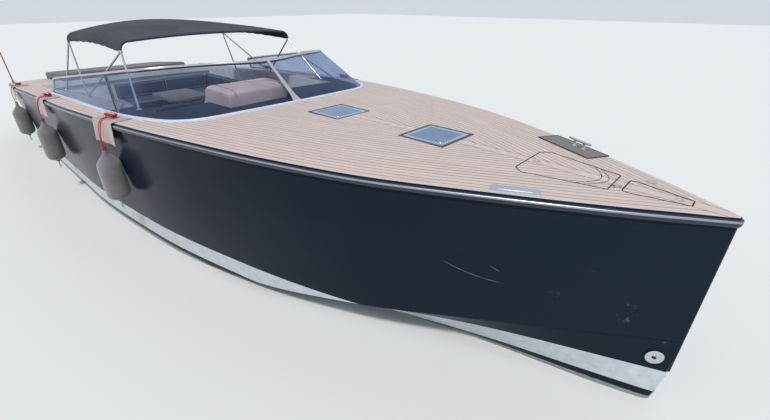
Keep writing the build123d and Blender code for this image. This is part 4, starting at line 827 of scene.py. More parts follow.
def cockpit_outline(fore, aft, inset=0.0):
    bends = sorted([*STATION_AFT, NARROWS_FROM, NARROWS_TO])
    places = [fore] + [a for a in bends if fore < a < aft] + [aft]
    return mirrored([(a, cad_deck_y(a) - cockpit_inset(a) - inset) for a in places])


def shrunk(points, by):
    first, last = points[0][0], points[-1][0]
    return [(a + (by if a == first else -by if a == last else 0.0), y - by) for a, y in points]


def deck_block(name, fore=0.0, aft=DECK_LENGTH, pitch=0.055, thick=DECK_SHEET, columns=48):
    """The deck's full thickness between two places along the boat."""
    rows = []
    for a in np.linspace(fore, aft, max(4, int((aft - fore) / pitch))):
        edge = deck_y(a) - 0.010 * min(1.0, deck_y(a) / 0.2)
        ys = edge * np.linspace(1, -1, columns)
        top = [Vector((x_at(a), y, deck_z(a, y) + 0.001)) for y in ys]
        bottom = [p - Vector((0, 0, thick)) for p in reversed(top)]
        rows.append(top + bottom)
    return closed_form(name, rows)


def plank_coordinates(obj):
    """UV: the distance along the boat and the distance in from the deck's edge."""
    layer = obj.data.uv_layers.get("planks") or obj.data.uv_layers.new(name="planks")
    for loop in obj.data.loops:
        co = obj.data.vertices[loop.vertex_index].co
        aft = STEM_X - co.x
        layer.data[loop.index].uv = (aft, deck_y(aft) - abs(co.y))
    return obj


def side_faces(obj, index, limit=0.5):
    """Puts upright faces, and those that look down, on another material."""
    for face in obj.data.polygons:
        if face.normal.z < limit:
            face.material_index = index


def square(aft, size):
    h = size / 2
    return [(x_at(aft) + h, h), (x_at(aft) - h, h), (x_at(aft) - h, -h), (x_at(aft) + h, -h)]


# The lids' hinge edge and free edge, each as its place, upright face and bevel's run
LID_EDGES = {
    "anchor_locker_lid": ((0.625, 0.006, 0.080), (1.175, 0.022, 0.016)),
    "bow_roller_lid": ((0.550, 0.006, 0.080), (0.215, 0.022, 0.016)),
    "engine_hatch": ((10.990, 0.003, 0.100), (9.130, 0.040, 0.010)),
}


def lid_bevels(hinge, free):
    """Wedges that cut a lid's ends back below, so that it swings clear."""
    wedges = []
    for (aft, upright, run), other in ((hinge, free), (free, hinge)):
        way = 1 if other[0] < aft else -1
        x, z = x_at(aft), deck_z(aft) - upright
        section = [(x - way * 0.02, z), (x, z), (x + way * run, z - 0.1), (x - way * 0.02, z - 0.1)]
        rows = [[Vector((px, y, pz)) for px, pz in section] for y in (-1.5, 1.5)]
        wedges.append(closed_form("wedge", rows))
    return join("wedges", wedges)


LIDS = (
    ("anchor_locker_cover", "anchor_locker_lid", LOCKER_LID),
    ("bow_roller_cover", "bow_roller_lid", ROLLER_LID),
    ("engine_hatch_cover", "engine_hatch", BAY_LID),
)


def deck_cutter(outline):
    return prism("cutter", outline, 0.0, 2.0)


def planked(piece, node, body="hull"):
    """Teak above and gelcoat on the sides."""
    plank_coordinates(piece)
    add_material(piece, TEAK, GELCOAT)
    side_faces(piece, 1)
    finish_piece(piece, None, body=body, replaces=node, angle=30)


def teak_deck():
    deck = deck_block("deck_planking")
    outlines = [cockpit_outline(COCKPIT_FORE, COCKPIT_AFT)]
    outlines += [mirrored(points) for points in (BAY_LID, LOCKER_LID, ROLLER_LID)]
    outlines += [square(aft, HATCH_SIZE) for aft in HATCHES.values()]
    boolean(deck, join("cutters", [deck_cutter(outline) for outline in outlines]))
    planked(deck, "deck")
    for name, node, points in LIDS:
        inner = shrunk(points, LID_GAP)
        lid = deck_block(name, inner[0][0] - 0.01, inner[-1][0] + 0.01, 0.04, 0.058)
        boolean(lid, deck_cutter(mirrored(inner)), "INTERSECT")
        boolean(lid, lid_bevels(*LID_EDGES[node]))
        planked(lid, node, node)


teak_deck()

# Rub rail: a dark half-round with a polished strip, round both sides and the stem


BOW_STOPS = [0.37, 0.3, 0.23, 0.17, 0.12, 0.08, 0.05, 0.025, 0.008]


def sheer_path(drop, proud=0.0):
    """Points and outward directions along the sheer, from the port quarter round the stem to starboard."""
    port = []
    for aft in [*np.linspace(DECK_LENGTH, 0.45, 130), *BOW_STOPS]:
        slope = (deck_y(aft + 0.004) - deck_y(aft - 0.004)) / 0.008
        out = Vector((slope, 1.0, 0.0)).normalized()
        port.append((Vector((x_at(aft), deck_y(aft), sheer_z(aft) - drop)), out))
    nose_z = sheer_z(0.0) - drop
    for y, angle in ((0.010, 52), (0.006, 32), (0.003, 14)):
        a = math.radians(angle)
        port.append((Vector((STEM_X, y, nose_z)), Vector((math.cos(a), math.sin(a), 0))))
    middle = [(Vector((STEM_X, 0, nose_z)), Vector((1, 0, 0)))]
    starboard = [(Vector((p.x, -p.y, p.z)), Vector((o.x, -o.y, 0))) for p, o in reversed(port)]
    return [(p + o * proud, o) for p, o in port + middle + starboard]


def rail_sweep(name, profile, drop, proud=0.0):
    rows = []
    for point, out in sheer_path(drop, proud):
        rows.append([point + out * a + Vector((0, 0, b)) for a, b in profile])
    return closed_form(name, rows)


def rub_rail():
    arc = [math.radians(a) for a in range(-90, 91, 15)]
    round_face = [(0.018 * math.cos(a) + 0.002, 0.024 * math.sin(a)) for a in arc]
    rail = rail_sweep("rub_rail_moulding", [(-0.002, -0.024), *round_face, (-0.002, 0.024)], 0.034)
    paint = plain("rail_vinyl", (0.016, 0.020, 0.032), 0.30, 90.0, 0.0002, 0.15)
    finish_piece(rail, paint, replaces="rub_rail", angle=40)
    strip_form = [(0.0045 * math.cos(a), 0.0075 * math.sin(a)) for a in arc] + [(-0.002, 0)]
    strip = rail_sweep("rub_rail_strip", strip_form, 0.0215, 0.0165)
    finish_piece(strip, metal("rail_strip", (0.40, 0.44, 0.54), 0.26), angle=50)


rub_rail()

# Windshield: rail, glass and foot trim on smooth curves through the part's posts
# aft, half-breadth at the foot, then aft, half-breadth and height at the top
POSTS = [
    (3.840, 0.000, 4.350, 0.000, 1.855),
    (3.868, 0.600, 4.590, 0.600, 1.850),
    (3.950, 1.050, 4.735, 1.020, 1.845),
    (4.120, 1.240, 4.850, 1.180, 1.832),
    (4.480, 1.380, 5.160, 1.245, 1.795),
    (4.900, 1.470, 5.600, 1.310, 1.735),
    (5.700, 1.520, 6.350, 1.395, 1.638),
    (7.400, 1.550, 7.400, 1.490, 1.500),
]
SIDE_JOINT = 5
SPAN = 8
RAIL_RADIUS = 0.015


def on_deck(point, lift=0.0):
    """The place on the deck below or above a point, or a little over it."""
    return Vector((point.x, point.y, deck_z(STEM_X - point.x, point.y) + lift))


def shield_curves():
    """Smooth foot and head curves of the glass, from the port aft end round to starboard."""
    feet, heads = [], []
    for aft, y, top_aft, top_y, top_z in reversed(POSTS):
        feet.append((x_at(aft), y, 0.0))
        heads.append((x_at(top_aft), top_y, top_z))
    for row in (feet, heads):
        row += [(x, -y, z) for x, y, z in row[-2::-1]]
    return [on_deck(p) for p in spline_points(feet, SPAN)], spline_points(heads, SPAN)


FEET, HEADS = shield_curves()
CENTRE = (len(POSTS) - 1) * SPAN
JOINTS = (CENTRE - SIDE_JOINT * SPAN, CENTRE + SIDE_JOINT * SPAN)


PANE_SHARES = (0, 0.04, 0.2, 0.4, 0.6, 0.8, 0.96, 1)
PANE_THICK = 0.008


def coated_glass(name, tint):
    """Tinted glass with a dark printed rim: the view through it is coloured, and its face mirrors more
    at a low angle."""
    s = Shader(name, (0.010, 0.011, 0.014), 0.22)
    film = s.noise(1.6, 4.0)
    clear = s.node("ShaderNodeBsdfTransparent")
    s.put(clear, "Color", s.mix(s.ramp(film, 0.3, 0.75), tint, tuple(c * 0.90 for c in tint)))
    gloss = s.node("ShaderNodeBsdfGlossy", Roughness=0.02)
    s.put(gloss, "Color", s.mix(s.ramp(film, 0.2, 0.8), (0.48, 0.62, 0.92), (0.40, 0.53, 0.82)))
    inside = s.node("ShaderNodeNewGeometry").outputs["Backfacing"]
    facing = s.node("ShaderNodeFresnel", IOR=1.52).outputs["Fac"]
    pane = s.mix_shaders(s.mul(facing, s.sub(1.0, inside)), clear.outputs[0], gloss.outputs[0])
    ends, rims = s.uv("edges")
    rim = s.math("MAXIMUM", s.math("LESS_THAN", rims, 0.020), s.math("LESS_THAN", ends, 0.012))
    whole = s.mix_shaders(rim, pane, s.bsdf.outputs[0])
    s.tree.links.new(whole, s.tree.nodes["Material Output"].inputs["Surface"])
    return s.material


def glass_pane(name, first, last, material, node):
    """One bent pane between two places along the curves."""
    rows, ends = [], []
    travel = [0.0]
    for i in range(first + 1, last + 1):
        travel.append(travel[-1] + (FEET[i] - FEET[i - 1]).length)
    for i, along in enumerate(travel, first):
        way = (HEADS[i] - FEET[i]).normalized()
        low, high = FEET[i] + way * 0.010, HEADS[i] - way * RAIL_RADIUS * 0.8
        tall = (high - low).length
        rows.append([low.lerp(high, t) for t in PANE_SHARES])
        ends += [(min(along, travel[-1] - along), min(t, 1 - t) * tall) for t in PANE_SHARES]
    pane = map_uv(grid_object(name, rows), "edges", ends)
    apply_modifiers(thicken(pane, PANE_THICK))
    return finish_piece(pane, material, replaces=node, angle=40)


def bar(name, start, end, across, wide, thick, bevel=0.003):
    """A straight bar with rounded edges, from one point to another."""
    start, end, across = Vector(start), Vector(end), Vector(across)
    way = (end - start).normalized()
    across = (across - way * across.dot(way)).normalized()
    over = way.cross(across)
    profile = rounded_profile(wide, thick, bevel, 3)
    return closed_form(name, [[p + across * a + over * b for a, b in profile] for p in (start, end)])


def shield_glass():
    front = coated_glass("front_glass_coating", (0.80, 0.84, 0.93))
    side = coated_glass("side_glass_coating", (0.83, 0.88, 0.95))
    glass_pane("windshield_port_pane", JOINTS[0], CENTRE, front, "windshield_glass")
    glass_pane("windshield_starboard_pane", CENTRE, JOINTS[1], front, "windshield_glass")
    glass_pane("port_side_pane", 0, JOINTS[0], side, "side_glass")
    glass_pane("starboard_side_pane", JOINTS[1], 2 * CENTRE, side, "side_glass")


def shield_trim():
    # The trim's pale blue is a painted sky reflection, laid into its colour
    paint = plain("trim_gelcoat_painted_sky", (0.50, 0.56, 0.64), 0.24, 60.0, 0.0001, 0.06)
    starboard = [(0.023, -0.006), (0.023, 0.012), (0.018, 0.019)]
    section = [(-0.023, -0.006), *starboard, (0.0, 0.023), (-0.018, 0.019), (-0.023, 0.012)]
    trim = sweep("windshield_foot_trim", FEET, section)
    finish_piece(trim, paint, replaces="windshield_trim", angle=40)
    beside = [f + (h - f).normalized() * 0.027 for f, h in zip(FEET, HEADS)]
    finish_piece(tube("windshield_seal", beside, 0.0075, 10), SEAL)


def aft_post(head, inner, foot):
    """The rail's end, bent down from its head to the foot of the aft post."""
    run, down = (head - inner).normalized(), (foot - head).normalized()
    bend = []
    for t in (0, 0.25, 0.5, 0.75, 1.0):
        bend.append(head - run * 0.05 + (run * 0.05) * t * (2 - t) + down * 0.05 * t * t)
    return bend + [foot + (head - foot) * 0.5, foot]


# Shares of the mullion's height, with half its breadth there
MULLION_HALVES = [(0.0, 0.058), (0.07, 0.044), (0.15, 0.033), (0.26, 0.026), (0.6, 0.021), (1.0, 0.019)]


def centre_mullion():
    base, top = FEET[CENTRE], HEADS[CENTRE]
    outward = TO_PORT.cross((top - base).normalized())
    rows = []
    for share, half in MULLION_HALVES:
        middle = base.lerp(top, share) + outward * 0.010
        profile = rounded_profile(2 * half, 0.013, 0.005, 3)
        rows.append([middle + TO_PORT * a + outward * b for a, b in profile])
    return closed_form("centre_mullion", rows)


def side_mullion(i):
    way = (FEET[i + 1] - FEET[i - 1]).normalized()
    inward = UP.cross(way).normalized()
    inward = inward if inward.y * FEET[i].y < 0 else -inward
    return bar("side_mullion", FEET[i] + inward * 0.012, HEADS[i] + inward * 0.012, way, 0.030, 0.012)


def shield_frame():
    port, starboard = aft_post(HEADS[0], HEADS[1], FEET[0]), aft_post(HEADS[-1], HEADS[-2], FEET[-1])
    rail = tube("windshield_rail", port[::-1] + HEADS[2:-2] + starboard, RAIL_RADIUS, 14)
    bars = join("windshield_frame_bars", [rail, centre_mullion(), *[side_mullion(i) for i in JOINTS]])
    finish_piece(bars, STAINLESS, replaces="windshield_frame", angle=40)


shield_glass()
shield_trim()
shield_frame()

# Sun top: canvas sleeved over two bows that stand on zigzag stays
# aft, half-width, height at the edge, height at the crown
SUN_BOWS = [(5.500, 1.110, 1.955, 2.095), (6.500, 1.130, 1.965, 2.170), (7.530, 1.150, 1.950, 2.180)]
BOW_RADIUS = 0.0125
BOW_SHOULDER = 0.100
STAY_RADIUS = 0.011
STAY_FEET = (4.960, 6.480, 7.620)
STAY_INSET = 0.395
BOW_PLACES = [bow[0] for bow in SUN_BOWS]
bow_half, bow_edge, bow_crown = [fair_curve(BOW_PLACES, [bow[i] for bow in SUN_BOWS]) for i in (1, 2, 3)]


def bow_arc(half, edge, crown, out=0.0, count=44):
    """Points (y, z) over a bow from port to starboard, moved out from its centreline."""
    radius = BOW_SHOULDER + out
    inner, rise = half + out - radius, crown + out - edge
    depth = (inner ** 2 - (rise - radius) ** 2) / (2 * (rise - radius))
    turn = math.atan2(depth, inner)
    reach = math.hypot(inner, depth)
    centre, big = rise - reach - radius, reach + radius
    start, half_count = math.asin(inner / (big - radius)), count // 2
    points = []
    for i in range(6):
        a = turn * i / 6
        points.append((inner + radius * math.cos(a), edge + radius * math.sin(a)))
    for i in range(half_count + 1):
        a = start * (1 - i / half_count)
        points.append((big * math.sin(a), edge + centre + big * math.cos(a)))
    return points + [(-y, z) for y, z in points[-2::-1]]


def canvas_cloth():
    """Dark woven acrylic with sewn seams along its panels, faded on top."""
    s = Shader("canvas_cloth", (0.055, 0.062, 0.078), 0.92, Sheen_Weight=0.03, Specular_IOR_Level=0.15)
    across, along = s.uv("cut")
    threads = s.mul(s.math("SINE", s.mul(across, 2600.0)), s.math("SINE", s.mul(along, 2600.0)))
    faded, dusty = s.noise(1.4, 5.0, 0.6), s.noise(9.0, 6.0, 0.7)
    color = s.mix(s.ramp(faded, 0.3, 0.75), (0.034, 0.040, 0.053), (0.054, 0.062, 0.080))
    color = s.mix(s.ramp(dusty, 0.5, 0.8, 0.0, 0.30), color, (0.085, 0.095, 0.115))
    lane = s.apart(s.math("ABSOLUTE", across), 0.39)
    seam = s.ramp(lane, 0.004, 0.011, 1.0, 0.0)
    stitch = s.math("LESS_THAN", s.apart(lane, 0.006), 0.0012)
    s.set(Base_Color=s.mix(s.mul(stitch, 0.6), color, (0.02, 0.02, 0.025)))
    s.bump(threads, 0.0003, 0.5)
    s.bump(seam, 0.0015, 0.8)
    s.bump(s.noise(5.0, 4.0, 0.5, s.stretched(0.6, 1.8, 1.0)), 0.006, 0.35)
    return s.material


STAY_KNUCKLE = [(0.001, -0.018), (0.016, -0.016), (0.019, 0), (0.016, 0.016), (0.001, 0.018)]
EYE_PLATE = [
    (0.001, -0.004), (0.030, -0.004), (0.030, 0.004), (0.026, 0.007), (0.015, 0.009), (0.013, 0.022),
    (0.001, 0.026),
]


def sun_top_stays(side):
    """The zigzag stays of one side with their knuckles, and the plates they stand on."""
    feet = []
    for aft in STAY_FEET:
        y = cad_deck_y(aft) - STAY_INSET
        feet.append(Vector((x_at(aft), side * y, deck_z(aft, y))))
    heads = [Vector((x_at(bow[0]), side * bow[1], bow[2])) for bow in (SUN_BOWS[0], SUN_BOWS[-1])]
    zigzag = ((0, 0), (1, 0), (1, 1), (2, 1))
    stays = [tube("stay", [feet[low], heads[high]], STAY_RADIUS, 12) for low, high in zigzag]
    stays += [revolve("knuckle", STAY_KNUCKLE, head, "Y", 16) for head in heads]
    return stays, [revolve("eye_plate", EYE_PLATE, foot, "Z", 20) for foot in feet]


def sun_top_frame():
    tubes, plates = [], []
    for aft, half, edge, crown in (SUN_BOWS[0], SUN_BOWS[-1]):
        arc = [(x_at(aft), y, z) for y, z in bow_arc(half, edge, crown)]
        tubes.append(tube("bow", arc, BOW_RADIUS, 12))
    for side in (1, -1):
        stays, feet = sun_top_stays(side)
        tubes += stays
        plates += feet
    whole = join("sun_top_tubes", tubes + plates)
    finish_piece(whole, STAINLESS, replaces="sun_top_frame", angle=50)


CLOTH_FORE, CLOTH_BACK = SUN_BOWS[0][0], SUN_BOWS[-1][0]
CLOTH_REACH = BOW_RADIUS + 0.0020


def cloth_places():
    """Places of the cloth from front to back, each with its distance out from the bows, which it wraps."""
    def sleeve(aft, way, start, end, step):
        turns = [math.radians(a) for a in range(start, end, step)]
        return [(aft + way * CLOTH_REACH * math.cos(a), CLOTH_REACH * math.sin(a)) for a in turns]

    places = [(CLOTH_FORE + 0.060, -CLOTH_REACH), (CLOTH_FORE + 0.030, -CLOTH_REACH)]
    places += sleeve(CLOTH_FORE, -1, -90, 91, 30)
    places += [(a, CLOTH_REACH) for a in np.linspace(CLOTH_FORE, CLOTH_BACK, 34)[1:-1]]
    places += sleeve(CLOTH_BACK, 1, 90, -91, -30)
    return places + [(CLOTH_BACK - 0.030, -CLOTH_REACH), (CLOTH_BACK - 0.060, -CLOTH_REACH)]


def cloth_row(aft, out):
    """The cloth over one place: hollow between the bows, with ripples near its sides."""
    share = min(max((aft - CLOTH_FORE) / (CLOTH_BACK - CLOTH_FORE), 0.0), 1.0)
    hollow = math.sin(math.pi * share)
    half, edge = bow_half(aft) - 0.030 * hollow, bow_edge(aft) + 0.022 * hollow
    crown_z = bow_crown(aft) - 0.010 * math.sin(2 * math.pi * share)
    rippled = out > 0 and 0.03 < share < 0.97
    row = []
    for y, z in bow_arc(half, edge, crown_z, out):
        pull = math.exp(-((abs(y) - half) / 0.14) ** 2)
        ripple = 0.004 * hollow * math.sin(26 * aft + 9 * y) * (0.3 + pull)
        row.append(Vector((x_at(aft), y, z + (ripple if rippled else 0.0))))
    return row


def sun_top_cloth():
    rows, cut, travel = [], [], 0.0
    for aft, out in cloth_places():
        row = cloth_row(aft, out)
        if rows:
            travel += (row[len(row) // 2] - rows[-1][len(row) // 2]).length
        rows.append(row)
        cut += [(p.y * 1.04, travel) for p in row]
    canvas = map_uv(grid_object("sun_top_cloth", rows), "cut", cut)
    apply_modifiers(thicken(canvas, 0.0016))
    finish_piece(canvas, canvas_cloth(), replaces="sun_top_canvas", angle=60)
    edges = [tube("binding", [row[column] for row in rows[2:-2]], 0.0042, 8) for column in (0, -1)]
    binding = join("sun_top_binding", edges)
    finish_piece(binding, woven("binding_tape", (0.030, 0.033, 0.040), 0.0016, 0.0002), angle=60)


sun_top_frame()
sun_top_cloth()

# Fender mats, fenders and their lines
FENDER_PLACES = [4.790, 7.080, 9.700]
MAT_LENGTH = 0.440
MAT_INSIDE = {4.790: 0.205, 7.080: 0.165, 9.700: 0.200}
MAT_DOWN = 0.215
RAIL_OUT = 0.0205


def edge_frame(aft, side):
    """A point on the deck's edge there, the way forward along it, and the way inboard."""
    ahead, behind = aft - 0.05, aft + 0.05
    narrower, lower = deck_y(ahead) - deck_y(behind), sheer_z(ahead) - sheer_z(behind)
    way = Vector((0.1, side * narrower, lower)).normalized()
    inboard = UP.cross(way) * -side
    return Vector((x_at(aft), side * deck_y(aft), sheer_z(aft))), way, inboard.normalized()


def mat_profile(inside):
    """The mat from inboard to its hanging edge: (inset, height), with no height where it lies on the deck."""
    profile = [(inside * (1 - i / 8), None) for i in range(8)]
    profile += [(-RAIL_OUT + 0.012, 0.007), (-RAIL_OUT + 0.002, 0.004), (-RAIL_OUT - 0.004, -0.006)]
    return profile + [(-RAIL_OUT - 0.006, -0.020 - (MAT_DOWN - 0.020) * i / 9) for i in range(10)]


def fender_mat(index, aft, side, material):
    """A soft mat that lies on the side deck and hangs over the rub rail."""
    rows = []
    for j in range(17):
        point, _, inboard = edge_frame(aft + MAT_LENGTH * (j / 16 - 0.5), side)
        row = []
        for i, (inset, height) in enumerate(mat_profile(MAT_INSIDE[aft])):
            p = point + inboard * inset
            if height is None:
                p = on_deck(p, 0.0065 + 0.0012 * math.sin(j * 1.9 + i * 0.8))
            else:
                wave = max(0.0, -height - 0.03) / MAT_DOWN
                p = p - inboard * (0.010 * wave * (1 + math.sin(j * 0.75 + index)) + 0.003 * wave)
                p.z = point.z + height + 0.004 * wave * math.sin(j * 0.5 + index * 2)
            row.append(p)
        rows.append(row)
    mat = grid_object("fender_mat_%d" % index, rows)
    apply_modifiers(bevel(thicken(mat, 0.0045), 0.0015))
    finish_piece(mat, material, replaces="fender_mats", angle=50)


def fender_seat(aft, side):
    """The centre of the fender's top, where the part's own fender hangs."""
    node = nodes["fenders"]
    verts = [node.matrix_world @ v.co for v in node.data.vertices]
    near = [v for v in verts if abs(v.x - x_at(aft)) < 0.2 and v.y * side > 0]
    ys, zs = [v.y for v in near], [v.z for v in near]
    return Vector((x_at(aft), (min(ys) + max(ys)) / 2, max(zs)))


FENDER_LEAN = 0.022
FENDER_FORM = [
    (0.001, 0.000), (0.018, 0.000), (0.023, -0.006), (0.024, -0.024), (0.030, -0.036), (0.050, -0.058),
    (0.078, -0.092), (0.098, -0.120), (0.107, -0.138), (0.111, -0.158), (0.112, -0.190), (0.113, -0.300),
    (0.112, -0.452), (0.109, -0.476), (0.101, -0.497), (0.084, -0.514), (0.058, -0.529), (0.034, -0.537),
    (0.026, -0.544), (0.024, -0.556), (0.018, -0.560), (0.001, -0.560),
]


def fender_cover():
    s = Shader("fender_cover", (0.090, 0.088, 0.105), 0.92, Sheen_Weight=0.4, Sheen_Roughness=0.7)
    pile = s.noise(260.0, 5.0, 0.75)
    broad = s.noise(6.0, 5.0, 0.6)
    color = s.mix(s.ramp(broad, 0.3, 0.75), (0.078, 0.076, 0.092), (0.125, 0.122, 0.138))
    s.set(Base_Color=s.mix(s.ramp(pile, 0.35, 0.7, 0.0, 0.5), color, (0.045, 0.044, 0.055)))
    s.bump(pile, 0.0016, 0.8)
    s.bump(s.noise(14.0, 4.0), 0.004, 0.4)
    return s.material


def rope_material(name, color, dark):
    s = Shader(name, color, 0.7)
    x, y, z = s.split()
    lay = s.math("SINE", s.mul(s.add(z, s.mul(s.add(x, y), 0.8)), 900.0))
    # Darker in the grooves between the strands: painted shade
    s.set(Base_Color=s.mix(s.ramp(lay, -0.6, 0.6), dark, color))
    s.bump(lay, 0.0008, 0.8)
    s.bump(s.noise(300.0, 3.0), 0.0004, 0.5)
    return s.material


def rope_turns(centre, way, inboard, seed, count=7):
    """Figure-eight turns of line made fast on a cleat, from end to end of its horns."""
    points = []
    for i in range(count * 12):
        t = 2 * math.pi * i / 12
        lift = 0.024 + 0.0042 * (i / 12) + 0.004 * math.sin(3.1 * t + seed)
        reach = 0.066 + 0.010 * math.sin(1.3 * i / 12 + seed)
        along = reach * math.sin(t / 2 + 0.15 * math.sin(t))
        across = 0.030 * math.sin(t) * (1 + 0.2 * math.sin(i * 0.37 + seed))
        points.append(centre + way * along + inboard * across + UP * lift)
    return points


CLEAT_INSET = 0.076


def cleat_seat(aft, side):
    """The place of a cleat on the deck, the deck's edge beside it, the way forward and the way inboard."""
    edge, way, inboard = edge_frame(aft, side)
    seat = edge + inboard * CLEAT_INSET
    seat.z = deck_z(aft, seat.y)
    return seat, edge, way, inboard


def mat_cloth():
    s = Shader("mat_cloth", (0.33, 0.27, 0.245), 0.95, Sheen_Weight=0.35, Sheen_Roughness=0.6)
    pile, broad = s.noise(420.0, 4.0, 0.7), s.noise(7.0, 5.0, 0.6)
    base = s.mix(s.ramp(broad, 0.3, 0.75), (0.34, 0.285, 0.262), (0.25, 0.205, 0.190))
    s.set(Base_Color=s.mix(s.ramp(pile, 0.35, 0.7, 0.0, 0.4), base, (0.18, 0.15, 0.14)))
    s.bump(pile, 0.0012, 0.8)
    return s.material


def fender_ropes(index, aft, side, top):
    """The turns on the cleat, both legs of the line over the rail, and the knot at the fender's top."""
    cleat, edge, way, inboard = cleat_seat(aft, side)
    ropes = [tube("turns", spline_points(rope_turns(cleat, way, inboard, index), 3), 0.0058, 8)]
    over = edge - inboard * (RAIL_OUT + 0.016)
    for shift in (-0.020, 0.020):
        route = [
            cleat + way * shift * 2 + UP * 0.040,
            cleat - inboard * 0.045 + way * shift + UP * 0.022,
            edge - inboard * 0.006 + way * shift + UP * 0.018,
            over + way * shift - UP * 0.012,
            over.lerp(top, 0.35) - inboard * 0.020 + way * shift * 0.9 - UP * 0.03,
            top + way * shift * 0.5 + UP * 0.030,
            top + way * shift * 0.2 - UP * 0.014,
        ]
        ropes.append(tube("line", spline_points(route, 6), 0.0044, 8))
    knot = []
    for a in np.linspace(0, 4.5 * math.pi, 40):
        knot.append(top + Vector((0.017 * math.cos(a), 0.017 * math.sin(a), 0.010 + 0.0022 * a)))
    return ropes + [tube("knot", knot, 0.0055, 8)]


def fender_loop(side, top):
    low = top - UP * 0.556
    path = []
    for a in around(24):
        sideways = 0.006 * side * math.sin(2 * a)
        path.append(low + Vector((0.020 * math.sin(a), sideways, -0.048 + 0.052 * math.cos(a))))
    return tube("loop", path, 0.0045, 8, closed=True)


def deck_gear():
    cloth, cover = mat_cloth(), fender_cover()
    # The second colour of each line is painted shade for the grooves between its strands
    red = rope_material("red_line", (0.58, 0.035, 0.040), (0.30, 0.012, 0.018))
    white = rope_material("white_line", (0.70, 0.70, 0.68), (0.42, 0.42, 0.41))
    fenders, ropes, loops = [], [], []
    places = [(aft, side) for aft in FENDER_PLACES for side in (1, -1)]
    for index, (aft, side) in enumerate(places, 1):
        fender_mat(index, aft, side, cloth)
        top = fender_seat(aft, side) - TO_PORT * (FENDER_LEAN * side)
        fenders.append(revolve("fender", FENDER_FORM, top, "Z", 40))
        ropes += fender_ropes(index, aft, side, top)
        loops.append(fender_loop(side, top))
    finish_piece(join("fender_bodies", fenders), cover, replaces="fenders", angle=60)
    finish_piece(join("fender_ropes", ropes), red, replaces="fender_lines", angle=60)
    finish_piece(join("fender_loops", loops), white, angle=60)


deck_gear()


# Mooring cleats, the pressed-down one, and the flush fittings of the foredeck
CLEAT_PLACES = [0.985, 4.800, 7.090, 9.710, 10.750]


LEG_RINGS = [(0.003, 0.019), (0.008, 0.015), (0.020, 0.0115), (0.044, 0.0110)]
HORN_HALF = [(0.110, 0.0035), (0.108, 0.0062), (0.085, 0.0082), (0.04, 0.0095)]
HORN_STATIONS = [(-a, r) for a, r in HORN_HALF] + [(0.0, 0.0098)] + HORN_HALF[::-1]


def raised_cleat(middle, way, inboard, up):
    """Two legs and the horns over them."""
    parts = []
    for shift in (-0.045, 0.045):
        foot = middle + way * shift
        parts.append(closed_form("leg", [ring(foot + up * h, way, inboard, r, 16) for h, r in LEG_RINGS]))
    path = [middle + way * a + up * (0.052 + 0.0025 * (a / 0.11) ** 2) for a, _ in HORN_STATIONS]
    return parts + [tube("horns", path, [r for _, r in HORN_STATIONS], 14)]


def cleats():
    """Two-legged horn cleats on rounded plates; the forward starboard one is pressed flush."""
    raised, flush = [], []
    for aft, side in [(aft, side) for aft in CLEAT_PLACES for side in (1, -1)]:
        middle, _, way, inboard = cleat_seat(aft, side)
        up = way.cross(inboard) if way.cross(inboard).z > 0 else inboard.cross(way)

        def layered(name, form, layers):
            rows = [[middle + way * a * k + inboard * b * k + up * h for a, b in form] for h, k in layers]
            return closed_form(name, rows)

        plate_layers = [(-0.004, 1.0), (0.0030, 1.0), (0.0045, 0.985), (0.0050, 0.96)]
        plate = layered("plate", rounded_profile(0.290, 0.092, 0.020, 6), plate_layers)
        if aft == CLEAT_PLACES[0] and side == -1:
            horn_layers = [(0.004, 1.0), (0.0062, 0.995), (0.0075, 0.97)]
            flush += [plate, layered("horn", rounded_profile(0.225, 0.030, 0.0149, 8), horn_layers)]
        else:
            raised += [plate, *raised_cleat(middle, way, inboard, up)]
    finish_piece(join("cleats_raised", raised), STAINLESS, replaces="mooring_cleats", angle=40)
    pale = metal("brushed_plate", (0.62, 0.66, 0.74), 0.34)
    finish_piece(join("cleat_pressed_down", flush), pale, angle=40)


MAT_WIDE = 0.52


def cleat_mat():
    """The grey mat with a dark edge below the forward port cleat."""
    edge, way, inboard = edge_frame(CLEAT_PLACES[0], 1)
    rows = []
    for a in np.linspace(-0.30, MAT_WIDE - 0.30, 14):
        rows.append([on_deck(edge + way * a + inboard * b, 0.0045) for b in np.linspace(0.008, 0.205, 8)])
    pad = grid_object("cleat_mat", rows)
    border = rows[0] + [r[-1] for r in rows[1:]] + rows[-1][-2::-1] + [r[0] for r in rows[-2:0:-1]]
    rim = tube("mat_rim", border, 0.0042, 8, closed=True)
    apply_modifiers(thicken(pad, 0.003))
    finish_piece(pad, woven("cleat_mat_cloth", (0.13, 0.125, 0.13), 0.003, 0.0006, 0.95))
    finish_piece(rim, SEAL)


cleats()
cleat_mat()


def deck_path(points, lift=0.0012):
    """A path on the deck through (aft, y) points, with the height of the teak."""
    return [Vector((x_at(a), y, deck_z(a, y) + lift)) for a, y in points]


def closed_outline(port, corner=0.02, steps=6):
    """A lid's outline with rounded corners, as a closed list of (aft, y)."""
    points = [Vector((a, y)) for a, y in port] + [Vector((a, -y)) for a, y in reversed(port)]
    result, count = [], len(points)
    for i, p in enumerate(points):
        before, after = points[i - 1], points[(i + 1) % count]
        cut = min(corner, (p - before).length * 0.45, (after - p).length * 0.45)
        a, b = p + (before - p).normalized() * cut, p + (after - p).normalized() * cut
        for j in range(steps + 1):
            t = j / steps
            result.append(a * (1 - t) ** 2 + p * 2 * t * (1 - t) + b * t * t)
    dense = []
    for i, p in enumerate(result):
        q = result[(i + 1) % len(result)]
        parts = max(1, int((q - p).length / 0.05))
        dense += [(p.lerp(q, k / parts).x, p.lerp(q, k / parts).y) for k in range(parts)]
    return dense


LATCH = [
    (0.001, -0.002), (0.026, -0.002), (0.026, 0.0022), (0.024, 0.0030), (0.018, 0.0030), (0.017, 0.0012),
    (0.001, 0.0012),
]


